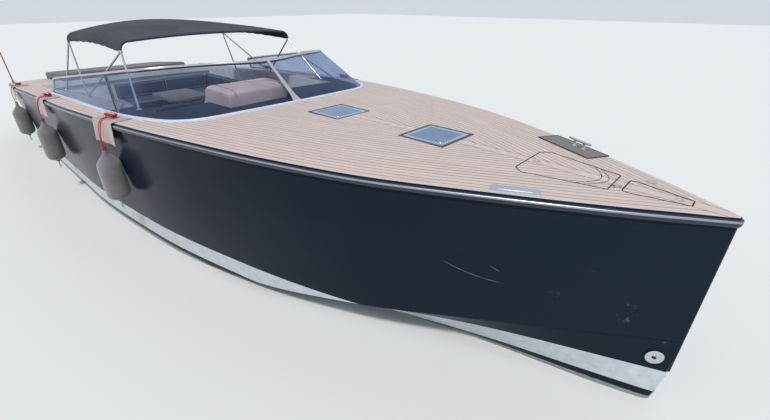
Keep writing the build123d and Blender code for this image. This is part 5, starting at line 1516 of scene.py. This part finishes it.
def lid_seals():
    """Dark rubber round the two lids of the foredeck."""
    port = [(0.0034, -0.0030), (0.0034, 0.0006), (0.0024, 0.0012)]
    section = [(-0.0034, -0.0030), *port, (-0.0024, 0.0012), (-0.0034, 0.0006)]
    for name, outline in (("anchor_locker_seal", LOCKER_LID), ("bow_roller_seal", ROLLER_LID)):
        path = deck_path(closed_outline(outline, 0.012), 0.0016)
        finish_piece(sweep(name, path, section, closed=True), SEAL)


def foredeck_inlays():
    """Curved inlays of dark line near the stem, mirrored about the centreline."""
    section = [(-0.002, -0.002), (0.002, -0.002), (0.002, 0.0006), (-0.002, 0.0006)]
    lines = []
    for tip, reach, wide in ((0.655, 0.10, 0.165), (0.700, 0.105, 0.185)):
        port = [(tip + reach * (t ** 1.7), wide * t) for t in np.linspace(0, 1, 14)]
        whole = [(a, -y) for a, y in port[:0:-1]] + port
        lines.append(sweep("inlay", deck_path(whole, 0.0014), section))
    finish_piece(join("foredeck_inlays", lines), SEAL)


def lid_latches():
    """Flush latch rings on the two lids, each with its grip across."""
    for aft, body in ((1.120, "anchor_locker_lid"), (0.275, "bow_roller_lid")):
        x, z = x_at(aft), deck_z(aft, 0.0)
        latch = revolve("latch", LATCH, (x, 0.0, z), "Z", 28)
        grip = bar("grip", (x, -0.014, z + 0.0022), (x, 0.014, z + 0.0022), (1, 0, 0), 0.006, 0.003, 0.001)
        finish_piece(join(body + "_latch", [latch, grip]), STAINLESS, body=body, angle=40)


lid_seals()
foredeck_inlays()
lid_latches()

# CAD pieces that keep their own form: bevelled edges and their own finishes


def paint_node(name, material, width=0.002):
    obj = nodes[name]
    obj.data.materials.clear()
    obj.data.materials.append(material)
    if width:
        bevel(obj, width)
    return obj


def skylight():
    # The pane's blue colour is a painted sky reflection; the noise varies both that painted reflection and
    # the gloss
    s = Shader("hatch_acrylic_painted_sky", (0.030, 0.055, 0.095), 0.05, Specular_IOR_Level=0.7)
    haze_and_painted_sky = s.noise(3.0, 4.0)
    color = s.mix(s.ramp(haze_and_painted_sky, 0.3, 0.7), (0.040, 0.105, 0.215), (0.070, 0.155, 0.290))
    s.set(Base_Color=color, Roughness=s.ramp(haze_and_painted_sky, 0.3, 0.8, 0.04, 0.10))
    return s.material


def gloss_white(name, color=(0.74, 0.74, 0.72)):
    return plain(name, color, 0.22, 50.0, 0.0001, 0.04, Coat_Weight=0.3)


TEAK_FLAT = teak("teak_boards", (0.50, 0.40, 0.36), lines=False)


def keep_nodes():
    """Each piece with its material and the width of its bevels."""
    dark = plain("hatch_frame_anodised", (0.060, 0.065, 0.075), 0.38, 120.0, 0.0001, 0.15, Metallic=0.7)
    grey = plain("hatch_lid_anodised", (0.34, 0.44, 0.58), 0.30, 120.0, 0.0001, 0.12, Metallic=0.5)
    ladder = metal("ladder_steel", (0.66, 0.67, 0.69), 0.20)
    drive = plain("drive_enamel", (0.050, 0.053, 0.058), 0.35, 90.0, 0.0003, 0.2)
    propeller = metal("propeller_steel", (0.60, 0.60, 0.58), 0.24)
    looks = {
        "bow_eye": (STAINLESS, 0.0025),
        "foredeck_fittings": (STAINLESS, 0.0008),
        "ensign_staff": (teak("varnished_staff", (0.23, 0.10, 0.045), lines=False), 0.002),
        "helm_console": (gloss_white("console_gelcoat", (0.070, 0.090, 0.135)), 0.008),
        "steering_column": (BLACK, 0.003),
        "throttle_levers": (STAINLESS, 0.002),
        "companionway_door": (gloss_white("door_gelcoat"), 0.003),
        "door_hinges": (STAINLESS, 0.0),
        "cabin_step": (TEAK_FLAT, 0.004),
        "helm_seat_base": (gloss_white("seat_base_gelcoat", (0.085, 0.110, 0.165)), 0.006),
        "lounge_base": (gloss_white("lounge_gelcoat", (0.100, 0.125, 0.175)), 0.004),
        "galley_unit": (gloss_white("galley_gelcoat", (0.100, 0.125, 0.175)), 0.006),
        "engines": (plain("engine_enamel", (0.10, 0.105, 0.11), 0.5, 60.0, 0.0006, 0.25), 0.012),
        "swim_ladder": (ladder, 0.002),
        "ladder_hinge": (ladder, 0.001),
    }
    pane = skylight()
    for place in ("forward", "aft"):
        for part, material, width in (("frame", dark, 0.0015), ("lid", grey, 0.0020), ("pane", pane, 0.0008)):
            looks[place + "_hatch_" + part] = (material, width)
    for side in ("port", "starboard"):
        for part, width in (("_drive_shield", 0.005), ("_gimbal_ring", 0.006), ("_drive_leg", 0.006)):
            looks[side + part] = (drive, width)
        for part in ("_front_propeller", "_rear_propeller"):
            looks[side + part] = (propeller, 0.0012)
    for name, (material, width) in looks.items():
        paint_node(name, material, width)


keep_nodes()

# Cushions: crowned closed forms with rounded edges, pulled-in sides, sewn lines and piped seams

EDGE = 0.030  # radius of a cushion's upper edges
CROWN = 0.016
PULL = 0.006  # how far a side pulls in midway between its corners
SEW_DEEP, SEW_WIDE = 0.008, 0.009
PIPING = 0.0042


def cockpit_side(aft, out=0.0):
    return cad_deck_y(aft) - cockpit_inset(aft) - out


def flat(height):
    return lambda aft, y: height


def pad_low(aft, y):
    return deck_z(aft, y) + 0.003


def pad_high(aft, y):
    return deck_z(aft, 0.0) + 0.124


def berth_half(aft):
    return cad_line(aft, 3) * HALF_BEAM - 0.080


THIRDS = (0.34, 0.67)
SEAT_LINES = (0.36, 0.68)
SIDE_GAP = 0.008  # between the cushions and the cockpit's side
JOIN_GAP = 0.005  # between two cushions


def along_side(stops, inner_y):
    """Corners of cushions in a row against the port side. inner_y gives their inner edge from its y."""
    rows = []
    for fore, aft in zip(stops, stops[1:]):
        y_fore, y_aft = cockpit_side(fore, SIDE_GAP), cockpit_side(aft, SIDE_GAP)
        inner = [(fore, inner_y(y_fore)), (aft - JOIN_GAP, inner_y(y_aft))]
        rows.append(inner + [(aft - JOIN_GAP, y_aft), (fore, y_fore)])
    return rows


def across_boat(fore, aft, start, middle, end):
    """Corners of two cushions side by side across the boat."""
    pairs = ((start, middle), (middle + JOIN_GAP, end - JOIN_GAP))
    return [[(fore, y0), (fore, y1), (aft, y1), (aft, y0)] for y0, y1 in pairs]


def helm_cushions():
    rows = []
    for y in (-0.736, -0.236):
        seat = [(5.966, y), (5.966, y + 0.492), (5.622, y + 0.492), (5.622, y)]
        back = [(5.970, y), (5.970, y + 0.492), (6.099, y + 0.492), (6.099, y)]
        rows.append(("helm_seat_cushions", "seat", seat, flat(0.761), flat(0.886), (), SEAT_LINES))
        rows.append(("helm_seat_cushions", "back", back, flat(0.764), flat(1.178), (), SEAT_LINES))
    return rows


def lounge_cushions():
    rows = []

    def add(kind, plans, along, away):
        low, high = (flat(0.7003), flat(0.826)) if kind == "seat" else (flat(0.830), flat(1.076))
        for corners in plans:
            rows.append(("lounge_cushions", kind, corners, low, high, along, away))

    edge = cockpit_side(6.350) - 0.600
    add("seat", along_side((6.354, 7.020, 7.688, 8.355), lambda y: edge), (), SEAT_LINES)
    y_fore, y_aft = cockpit_side(8.358, SIDE_GAP), cockpit_side(8.985, SIDE_GAP)
    add("seat", [[(8.358, edge), (8.985, edge), (8.985, y_aft), (8.358, y_fore)]], (), ())
    add("seat", across_boat(8.358, 8.985, -0.397, (edge - 0.400) / 2, edge), (), SEAT_LINES)
    add("back", along_side((6.354, 7.240, 8.120, 8.985), lambda y: y - 0.120), THIRDS, ())
    wall = y_aft - 0.126
    add("back", across_boat(8.866, 8.986, -0.397, (wall - 0.397) / 2, wall), THIRDS, ())
    return rows


def pad_cushions():
    rows, ys = [], (-1.058, -0.354, 0.354, 1.058)
    for y0, y1 in zip(ys, ys[1:]):
        low_y, high_y = y0 + JOIN_GAP / 2, y1 - JOIN_GAP / 2
        for fore, aft, lines in ((9.190, 9.560, ()), (9.565, 10.870, THIRDS)):
            corners = [(fore, low_y), (aft, low_y), (aft, high_y), (fore, high_y)]
            rows.append(("sun_pad", "seat", corners, pad_low, pad_high, lines, ()))
    return rows


def berth_cushions():
    rows, stops = [], (1.690, 2.280, 2.880, 3.476)
    for fore, aft in zip(stops, stops[1:]):
        for side in (-1, 1):
            inner = [(fore, side * 0.003), (aft - JOIN_GAP, side * 0.003)]
            outer = [(aft - JOIN_GAP, side * berth_half(aft)), (fore, side * berth_half(fore))]
            rows.append(("berth_cushions", "seat", inner + outer, flat(0.4305), flat(0.535), (), ()))
    return rows


def cushion_table():
    """Node, kind, four (aft, y) corners, low, high, sewn lines as shares along and away.
    A cushion's first side is its front. Its opposite side rests when it is a back."""
    return helm_cushions() + lounge_cushions() + pad_cushions() + berth_cushions()


def dense_stops(start, end, lines, pitch):
    """Stops between two distances, closer beside the sewn lines."""
    beside = (0.0, 0.004, 0.009, 0.016, 0.024)
    stops = set(np.round(np.linspace(start, end, max(3, int((end - start) / pitch))), 5))
    for line in lines:
        stops = {v for v in stops if abs(v - line) > 0.026}
        stops |= {round(line + way * d, 5) for d in beside for way in (-1, 1)}
    return sorted(stops)


def crown(value, span):
    """Nought at both ends of a span, one at its middle, and full for most of it."""
    share = min(max(value / span, 0.0), 1.0)
    return (4 * share * (1 - share)) ** 0.6


ROUND = [float(a) for a in np.linspace(0.2, 1.37, 5)]  # turns over a rounded edge
REST_LIFT = 0.004
PITCH = 0.045  # between the points of a cushion


class Cushion:
    """A crowned cushion over four corners. s runs along its front, p away from its front and q up."""

    def __init__(self, kind, corners, low, high, along, away):
        self.plan = [Vector((x_at(aft), y)) for aft, y in corners]
        self.low, self.high, self.back = low, high, kind == "back"
        self.length = (self.plan[1] - self.plan[0]).length
        self.depth = (self.plan[3] - self.plan[0]).length
        centre = (self.plan[0] + self.plan[2]) / 2
        aft = STEM_X - centre.x
        self.tall = high(aft, centre.y) - low(aft, centre.y)
        self.along = [k * self.length for k in along]
        self.away = [k * (self.tall if self.back else self.depth) for k in away]

    def sewn(self, s, other):
        """How deep the sewn lines pull the cover in."""
        near = [abs(s - k) for k in self.along] + [abs(other - k) for k in self.away]
        return SEW_DEEP * math.exp(-(min(near) / SEW_WIDE) ** 2) if near else 0.0

    def place(self, s, p, q):
        front, rear = self.plan[:2], self.plan[3:1:-1]
        share = s / self.length
        point = front[0].lerp(front[1], share).lerp(rear[0].lerp(rear[1], share), p / self.depth)
        aft = STEM_X - point.x
        bottom = self.low(aft, point.y)
        return Vector((point.x, point.y, bottom + (self.high(aft, point.y) - bottom) * q / self.tall))

    def section(self):
        """The section round the cushion as (p, q, kind of face), and where its arcs lie in it."""
        depth, tall, back = self.depth, self.tall, self.back
        p_stops = dense_stops(EDGE, depth - (REST_LIFT if back else EDGE), [] if back else self.away, PITCH)
        q_stops = dense_stops(EDGE * 0.6, tall - EDGE, self.away if back else [], PITCH)
        points = [(p, tall, "top") for p in p_stops]
        if back:
            points += [(depth, q, "rest") for q in (tall - REST_LIFT, tall * 0.5, REST_LIFT)]
        else:
            for a in ROUND:
                points.append((depth - EDGE + EDGE * math.sin(a), tall - EDGE + EDGE * math.cos(a), "edge"))
            points += [(depth, q, "rear") for q in q_stops[::-1]]
        points += [(p, 0.0, "rest") for p in (depth - 0.02, depth * 0.5, 0.012)]
        points += [(0.0, q, "front") for q in q_stops]
        first_arc = len(points)
        for a in ROUND:
            points.append((EDGE - EDGE * math.cos(a), tall - EDGE + EDGE * math.sin(a), "edge"))
        return points, first_arc, first_arc - len(q_stops), len(p_stops) + 2

    def top_height(self, s, p, q, face, inner):
        """Where the crown and the sewn lines put a point of the top."""
        reach, share = (2.0, 0.5) if self.back else (1.0, 1.0)
        q += CROWN * crown(s, self.length) * crown(p, self.depth * reach) * share - CROWN * 0.75 - inner
        if face == "top":
            if not self.back:
                q -= self.sewn(s, p)
            elif self.along:
                q -= self.sewn(s, -1.0) * 0.7
        return q

    def formed(self, s, p, q, face, inner):
        """A point of the section where the filling, the sewing and the rounded ends put it."""
        swell, pull = crown(s, self.length), PULL * crown(s, self.length) * 0.4 + inner
        if face in ("top", "edge"):
            q = self.top_height(s, p, q, face, inner)
        if face == "front":
            p += pull
            if self.back:
                p += CROWN * (0.8 - swell * crown(q, self.tall)) + self.sewn(s, q)
            else:
                p -= 0.004 * crown(q, self.tall)
        if face == "rear":
            p -= pull - 0.004 * crown(q, self.tall)
        if face == "edge":
            near_front = p < self.depth / 2
            p += (inner if near_front else -inner) + (CROWN * 0.6 if self.back and near_front else 0.0)
        point = self.place(min(max(s, 0.0), self.length), min(max(p, 0.0), self.depth), max(q, 0.0))
        if face in ("top", "edge") and not self.back:
            point.z += noise.noise(point * 5.0) * 0.0022
        return point

    def rows(self, section):
        ends = [0.0, 0.0015, 0.006, 0.013, 0.021, EDGE]
        middle = dense_stops(EDGE + 0.01, self.length - EDGE - 0.01, self.along, PITCH)
        rows = []
        for s in ends + middle + [self.length - e for e in ends[::-1]]:
            end = min(s, self.length - s, EDGE)
            inner = EDGE * (1 - math.sqrt(max(0.0, 1 - (1 - end / EDGE) ** 2)))
            rows.append([self.formed(s, p, q, face, inner) for p, q, face in section])
        return rows

    def make(self):
        """The cushion and the piping along its seams."""
        section, first_arc, low_arc, far_arc = self.section()
        rows = self.rows(section)
        count, upper = len(section), first_arc + 2
        begin, finish = 4, len(rows) - 5
        whole = range(begin, finish + 1)
        if self.back:
            ways = (low_arc, upper, list(range(low_arc + 1, upper)))
        else:
            ways = (upper, far_arc, list(range(upper + 1, count + far_arc)))
        start, end, round_end = ways
        path = [rows[i][start] for i in whole] + [rows[finish][j % count] for j in round_end]
        path += [rows[i][end] for i in whole[::-1]] + [rows[begin][j % count] for j in round_end[::-1]]
        clean = [path[0]]
        for p in path[1:]:
            if (p - clean[-1]).length > 0.004:
                clean.append(p)
        return closed_form("cushion", rows), tube("pipe", clean, PIPING, 8, closed=True)


def make_cushions(materials):
    made = {}
    for node, *row in cushion_table():
        made.setdefault(node, []).append(Cushion(*row).make())
    for node, pairs in made.items():
        low, high = node_box(node)
        piece = join(node + "_padded", [body for body, _ in pairs])
        keep_within(piece, [c + 0.0003 for c in low], [c + 0.002 for c in high])
        body = "engine_hatch" if node == "sun_pad" else "hull"
        finish_piece(piece, materials[node], body=body, replaces=node, angle=60)
        pipes = join(node + "_piping", [pipe for _, pipe in pairs])
        finish_piece(pipes, materials["piping"], body=body)


BEIGE = leather("beige_leather", (0.92, 0.65, 0.49), 0.50, 0.0005)
GRAPHITE = leather("graphite_leather", (0.050, 0.066, 0.105), 0.50, 0.0005)
make_cushions({
    "helm_seat_cushions": GRAPHITE,
    "lounge_cushions": GRAPHITE,
    "sun_pad": leather("sun_pad_leather", (0.105, 0.112, 0.130), 0.55, 0.0005),
    "berth_cushions": woven("berth_cloth", (0.40, 0.39, 0.38)),
    "piping": leather("piping", (0.30, 0.24, 0.20), 0.5, 0.0004),
})

# Helm: padded pod, instrument panel, compass and wheel

POD_SIDE = [
    (4.162, 1.425), (4.162, 1.560), (4.172, 1.598), (4.215, 1.617), (4.400, 1.625), (4.560, 1.627),
    (4.660, 1.618), (4.702, 1.592), (4.745, 1.500), (4.813, 1.392), (4.812, 1.345), (4.790, 1.341),
    (4.640, 1.341), (4.640, 1.427),
]
POD_Y = (-0.620, 0.140)
POD_ROUND = 0.050
POD_FOOT, POD_LIP = 1.425, 1.341
HELM_Y = -0.240
PANEL_TOP, PANEL_FOOT = Vector((1.300, 0, 1.590)), Vector((1.185, 0, 1.390))
PANEL_MIDDLE = (PANEL_TOP + PANEL_FOOT) / 2 + TO_PORT * HELM_Y
PANEL_UP = (PANEL_TOP - PANEL_FOOT).normalized()
PANEL_OUT = PANEL_UP.cross(TO_PORT)
PANEL_FACE = 0.0123
WHEEL_CENTRE = Vector((1.000, HELM_Y, 1.300))
WHEEL_TILT = math.radians(25)
WHEEL_RADIUS = 0.166


def pod_curve(points, per_span, closed=False):
    """A smooth curve (x, z) through (aft, z) points."""
    return [(x_at(p.x), p.y) for p in spline_points([(a, z, 0) for a, z in points], per_span, closed)]


def pod_row(y):
    """The pod's outline at one place across, drawn in towards both ends."""
    end = min(y - POD_Y[0], POD_Y[1] - y)
    k = 1.0 if end >= POD_ROUND else math.sqrt(max(0.0, 1 - (1 - end / POD_ROUND) ** 2))
    row = []
    for x, z in pod_curve(POD_SIDE, 3, closed=True):
        floor = POD_LIP if x < x_at(4.645) else POD_FOOT
        drop = 0.036 * (1 - k) if z > 1.44 else 0.0
        if z > 1.30:
            x += (x_at(4.480) - x) * 0.10 * (1 - k)
        row.append(Vector((x, y, max(z - drop, floor))))
    return row


def helm_pod():
    """A leather-clad pod: its ends are rounded in, and seams run over it near both ends."""
    steps = [round(POD_ROUND * k, 4) for k in (0.0, 0.05, 0.17, 0.37, 0.65, 1.0)]
    ys = [POD_Y[0] + step for step in steps] + list(np.linspace(POD_Y[0] + 0.14, POD_Y[1] - 0.14, 9))
    ys += [POD_Y[1] - step for step in steps[::-1]]
    pod = keep_within(closed_form("helm_pod_leather", [pod_row(y) for y in ys]), *node_box("helm_pod"))
    seams = []
    for y in (POD_Y[0] + 0.085, POD_Y[1] - 0.085):
        path = [Vector((x, y, z + 0.0004)) for x, z in pod_curve(POD_SIDE[1:9], 5)]
        seams.append(tube("seam", path, 0.0036, 8))
    finish_piece(join("helm_pod_seams", seams), bpy.data.materials["piping"])
    finish_piece(pod, BEIGE, replaces="helm_pod", angle=50)


def on_panel(across, up, out=0.0):
    """A place on the instrument panel: across to port from its middle, up it, and out of it."""
    return PANEL_MIDDLE + TO_PORT * across + PANEL_UP * up + PANEL_OUT * (PANEL_FACE + out)


def panel_turned(name, profile, across, up, count=36):
    """A profile of (radius, height) turned about the panel's normal."""
    return closed_form(name, [ring(on_panel(across, up, h), TO_PORT, PANEL_UP, r, count) for r, h in profile])


def panel_plate(name, across, up, wide, high, thick, radius):
    points = rounded_profile(wide, high, radius)
    return closed_form(name, [[on_panel(across + a, up + b, h) for a, b in points] for h in (-0.001, thick)])


BEZEL = [
    (0.001, -0.001), (0.047, -0.001), (0.048, 0.004), (0.046, 0.007), (0.042, 0.007), (0.040, 0.003),
    (0.001, 0.003),
]


# Across, up and size of each gauge
GAUGES = [(-0.245, 0.012, 1.0), (0.245, 0.012, 1.0), (-0.145, -0.018, 0.62), (0.145, -0.018, 0.62)]


def gauges():
    """Two large and two small gauges, each with its rim, face, ticks and hand."""
    rims, faces, marks = [], [], []
    for across, up, size in GAUGES:
        rims.append(panel_turned("rim", [(r * size, h) for r, h in BEZEL], across, up))
        disc = [(0.0005, 0.003), (0.0405 * size, 0.003), (0.0405 * size, 0.0038), (0.0005, 0.0038)]
        faces.append(panel_turned("face", disc, across, up))
        reach = 0.034 * size
        for i in range(11):
            a = math.radians(225 - 27 * i)
            tick = (across - reach * math.cos(a), up + reach * math.sin(a))
            marks.append(panel_plate("tick", *tick, 0.0035, 0.0035, 0.0046, 0.0008))
        middle = (across + 0.008 * size, up + 0.004 * size)
        marks.append(panel_plate("hand", *middle, reach, 0.003, 0.0052, 0.0008))
    finish_piece(join("gauge_rims", rims), STAINLESS, angle=40)
    pale = plain("gauge_face", (0.62, 0.62, 0.60), 0.35)
    finish_piece(join("gauge_faces", faces), pale, angle=40)
    finish_piece(join("gauge_marks", marks), BLACK, soften=False)


def instruments():
    lacquer = plain("dash_lacquer", (0.022, 0.022, 0.024), 0.30, 120.0, 0.0002, 0.2)
    paint_node("instrument_panel", lacquer, 0.003)
    gauges()
    dark = plain("screen_glass", (0.012, 0.016, 0.022), 0.06, 200.0, 0.00002, 0.1, Coat_Weight=0.6)
    finish_piece(panel_plate("screen", 0, 0.014, 0.178, 0.112, 0.006, 0.008), dark, angle=40)
    keys = [panel_plate("key", -0.075 + 0.025 * i, -0.062, 0.016, 0.012, 0.005, 0.003) for i in range(7)]
    grey = plain("key_grey", (0.12, 0.12, 0.125), 0.5)
    finish_piece(join("panel_keys", keys), grey, soften=False)


COMPASS_BASE = [
    (0.001, -0.004), (0.037, -0.004), (0.038, 0.004), (0.036, 0.016), (0.033, 0.026), (0.030, 0.030),
    (0.001, 0.030),
]
COMPASS_RING = [(0.031, 0.026), (0.0375, 0.027), (0.038, 0.034), (0.035, 0.038), (0.0315, 0.036)]


def compass():
    seat = (x_at(4.090), 0.080, deck_z(4.090, 0.080))
    body = revolve("compass_case", COMPASS_BASE, seat, "Z", 40)
    rim = revolve("ring", COMPASS_RING, seat, "Z", 40)
    finish_piece(join("compass_base", [body, rim]), BLACK, replaces="compass", angle=40)
    bend = np.linspace(-0.6, math.pi / 2 - 0.02, 12)
    dome = [(0.0345 * math.cos(t), 0.052 + 0.0345 * math.sin(t)) for t in bend]
    clear = plain("compass_dome", (0.020, 0.024, 0.030), 0.04, 200.0, 0.00001, 0.1, Coat_Weight=0.8)
    finish_piece(revolve("compass_dome", dome, seat, "Z", 40), clear, angle=60)


WHEEL_HUB = [
    (0.001, -0.014), (0.036, -0.014), (0.038, -0.008), (0.037, 0.006), (0.030, 0.0115), (0.001, 0.0125),
]
WHEEL_ARM = ((0.020, -0.012), (0.060, -0.010), (0.110, -0.004), (0.160, 0.0))


def steering_wheel():
    axis = Vector((-math.cos(WHEEL_TILT), 0, math.sin(WHEEL_TILT)))
    up = Vector((math.sin(WHEEL_TILT), 0, math.cos(WHEEL_TILT)))

    def turned(name, profile, count):
        return closed_form(name, [ring(WHEEL_CENTRE + axis * h, TO_PORT, up, r, count) for r, h in profile])

    radii = [0.0132 + 0.0007 * math.cos(24 * a) for a in around(96)]
    circle = ring(WHEEL_CENTRE, TO_PORT, up, WHEEL_RADIUS, 96)
    rim = tube("steering_wheel_rim", circle, radii, 16, closed=True)
    cover = leather("wheel_leather", (0.030, 0.029, 0.030), 0.5)
    finish_piece(rim, cover, body="steering_wheel", replaces="steering_wheel", angle=60)
    parts, profile = [], rounded_profile(0.026, 0.006, 0.0025, 2)
    thinner = [1.0 + 0.25 * (1 - i / 15) for i in range(16)]
    for degrees in (90, 210, 330):
        a = math.radians(degrees)
        out = TO_PORT * math.cos(a) + up * math.sin(a)
        path = [WHEEL_CENTRE + out * r + axis * h for r, h in WHEEL_ARM]
        parts.append(sweep("arm", spline_points(path, 5), profile, up=axis, scale=thinner))
    parts += [turned("hub", WHEEL_HUB, 32), turned("shaft", [(0.017, -0.014), (0.017, -0.073)], 24)]
    finish_piece(join("steering_wheel_arms", parts), STAINLESS, body="steering_wheel", angle=40)


def dash_pad():
    """A dark, non-glare covering on the deck inside the front glass."""
    pad = deck_block("dash_pad", 3.80, 5.20, 0.04, 0.003)
    curve = [(p.x - 0.045, p.y * 0.970) for p in FEET if x_at(p.x) < 5.35]
    boolean(pad, prism("cutter", curve, 1.0, 2.0), "INTERSECT")
    boolean(pad, prism("cutter", cockpit_outline(COCKPIT_FORE, COCKPIT_AFT), 0.0, 2.0))
    for v in pad.data.vertices:
        v.co.z += 0.0022
    finish_piece(pad, plain("dash_cover", (0.014, 0.022, 0.042), 0.62, 500.0, 0.0004, 0.2))


dash_pad()
helm_pod()
instruments()
compass()
steering_wheel()

# Cockpit floor, table, galley, platform and the hatches' knobs


PLANK_TONE = (0.50, 0.41, 0.37)
TABLE_TOP = 0.995  # the table's leg below this height is of steel
SINK = [
    (0.001, 0.0004), (0.150, 0.0004), (0.168, 0.0020), (0.180, 0.0026), (0.186, 0.0012), (0.186, -0.0020),
    (0.001, -0.0020),
]


def straight_teak(name):
    """Planks that run straight along the boat."""
    return teak(name, PLANK_TONE, straight=True)


def cockpit_floor():
    paint_node("cockpit_sole", straight_teak("sole_teak"), 0.0)
    table = paint_node("cockpit_table", TEAK_FLAT, 0.004)
    table.data.materials.append(STAINLESS)
    for face in table.data.polygons:
        face.material_index = 1 if face.center.z < TABLE_TOP else 0


def galley_top():
    top_z = node_box("galley_unit")[1].z
    wall = [(x_at(a), -cockpit_side(a, 0.004)) for a in (6.352, 7.000, 7.398)]
    front = -cockpit_side(6.350) + 0.518
    outline = wall + [(x_at(7.380), front), (x_at(6.370), front)]
    stone = plain("galley_worktop", (0.075, 0.078, 0.085), 0.25, 500.0, 0.0001, 0.3)
    finish_piece(prism("galley_worktop", outline, top_z - 0.001, top_z + 0.003), stone)
    sink = (x_at(6.650), -cockpit_side(6.650) + 0.270, top_z + 0.003)
    finish_piece(revolve("galley_sink", SINK, sink, "Z", 48), STAINLESS, angle=40)


def galley_doors():
    face_y = -cockpit_side(7.400) + 0.520
    form = rounded_profile(0.440, 0.600, 0.020)
    doors, pulls = [], []
    for aft in (6.620, 7.130):
        x = x_at(aft)
        rows = [[Vector((x + a, face_y + h, 0.720 + b)) for a, b in form] for h in (-0.020, 0.004)]
        doors.append(closed_form("door", rows))
        pulls.append(tube("pull", [(x + way * 0.06, face_y + 0.014, 0.975) for way in (-1, 1)], 0.004, 10))
    pale = gloss_white("galley_door_gelcoat", (0.24, 0.255, 0.28))
    finish_piece(bevel(join("galley_doors", doors), 0.002), pale, angle=40)
    finish_piece(join("galley_pulls", pulls), STAINLESS)


def platform_teak():
    """Planking on the swim platform, with round corners and a well over the ladder."""
    paint_node("swim_platform", GELCOAT, 0.008)
    low, high = node_box("swim_platform")
    half, r = -low.y, 0.230
    fore, aft = high.x - 0.030, low.x + 0.045
    port = [(fore, half - 0.055)]
    for t in np.linspace(0, math.pi / 2, 9):
        port.append((aft + r - r * math.sin(t), half - 0.135 - r + r * math.cos(t)))
    outline = port + [(x, -y) for x, y in reversed(port)]
    sheet = prism("platform_planking", outline, high.z - 0.001, high.z + 0.0018)
    well = [(low.x - 0.1, 0.628), (low.x + 0.645, 0.628), (low.x + 0.645, 1.012), (low.x - 0.1, 1.012)]
    boolean(sheet, prism("cutter", well, 0.3, 0.6))
    finish_piece(sheet, straight_teak("platform_teak"))


def hatch_knobs():
    profile = [(0.001, -0.001), (0.013, -0.001), (0.013, 0.004), (0.010, 0.008), (0.001, 0.009)]
    for which, aft in HATCHES.items():
        top = node_box(which + "_lid")[1].z
        knob = revolve(which + "_knob", profile, (x_at(aft) + 0.150, -0.150, top), "Z", 20)
        finish_piece(knob, STAINLESS, body=which)


cockpit_floor()
galley_top()
galley_doors()
platform_teak()
hatch_knobs()
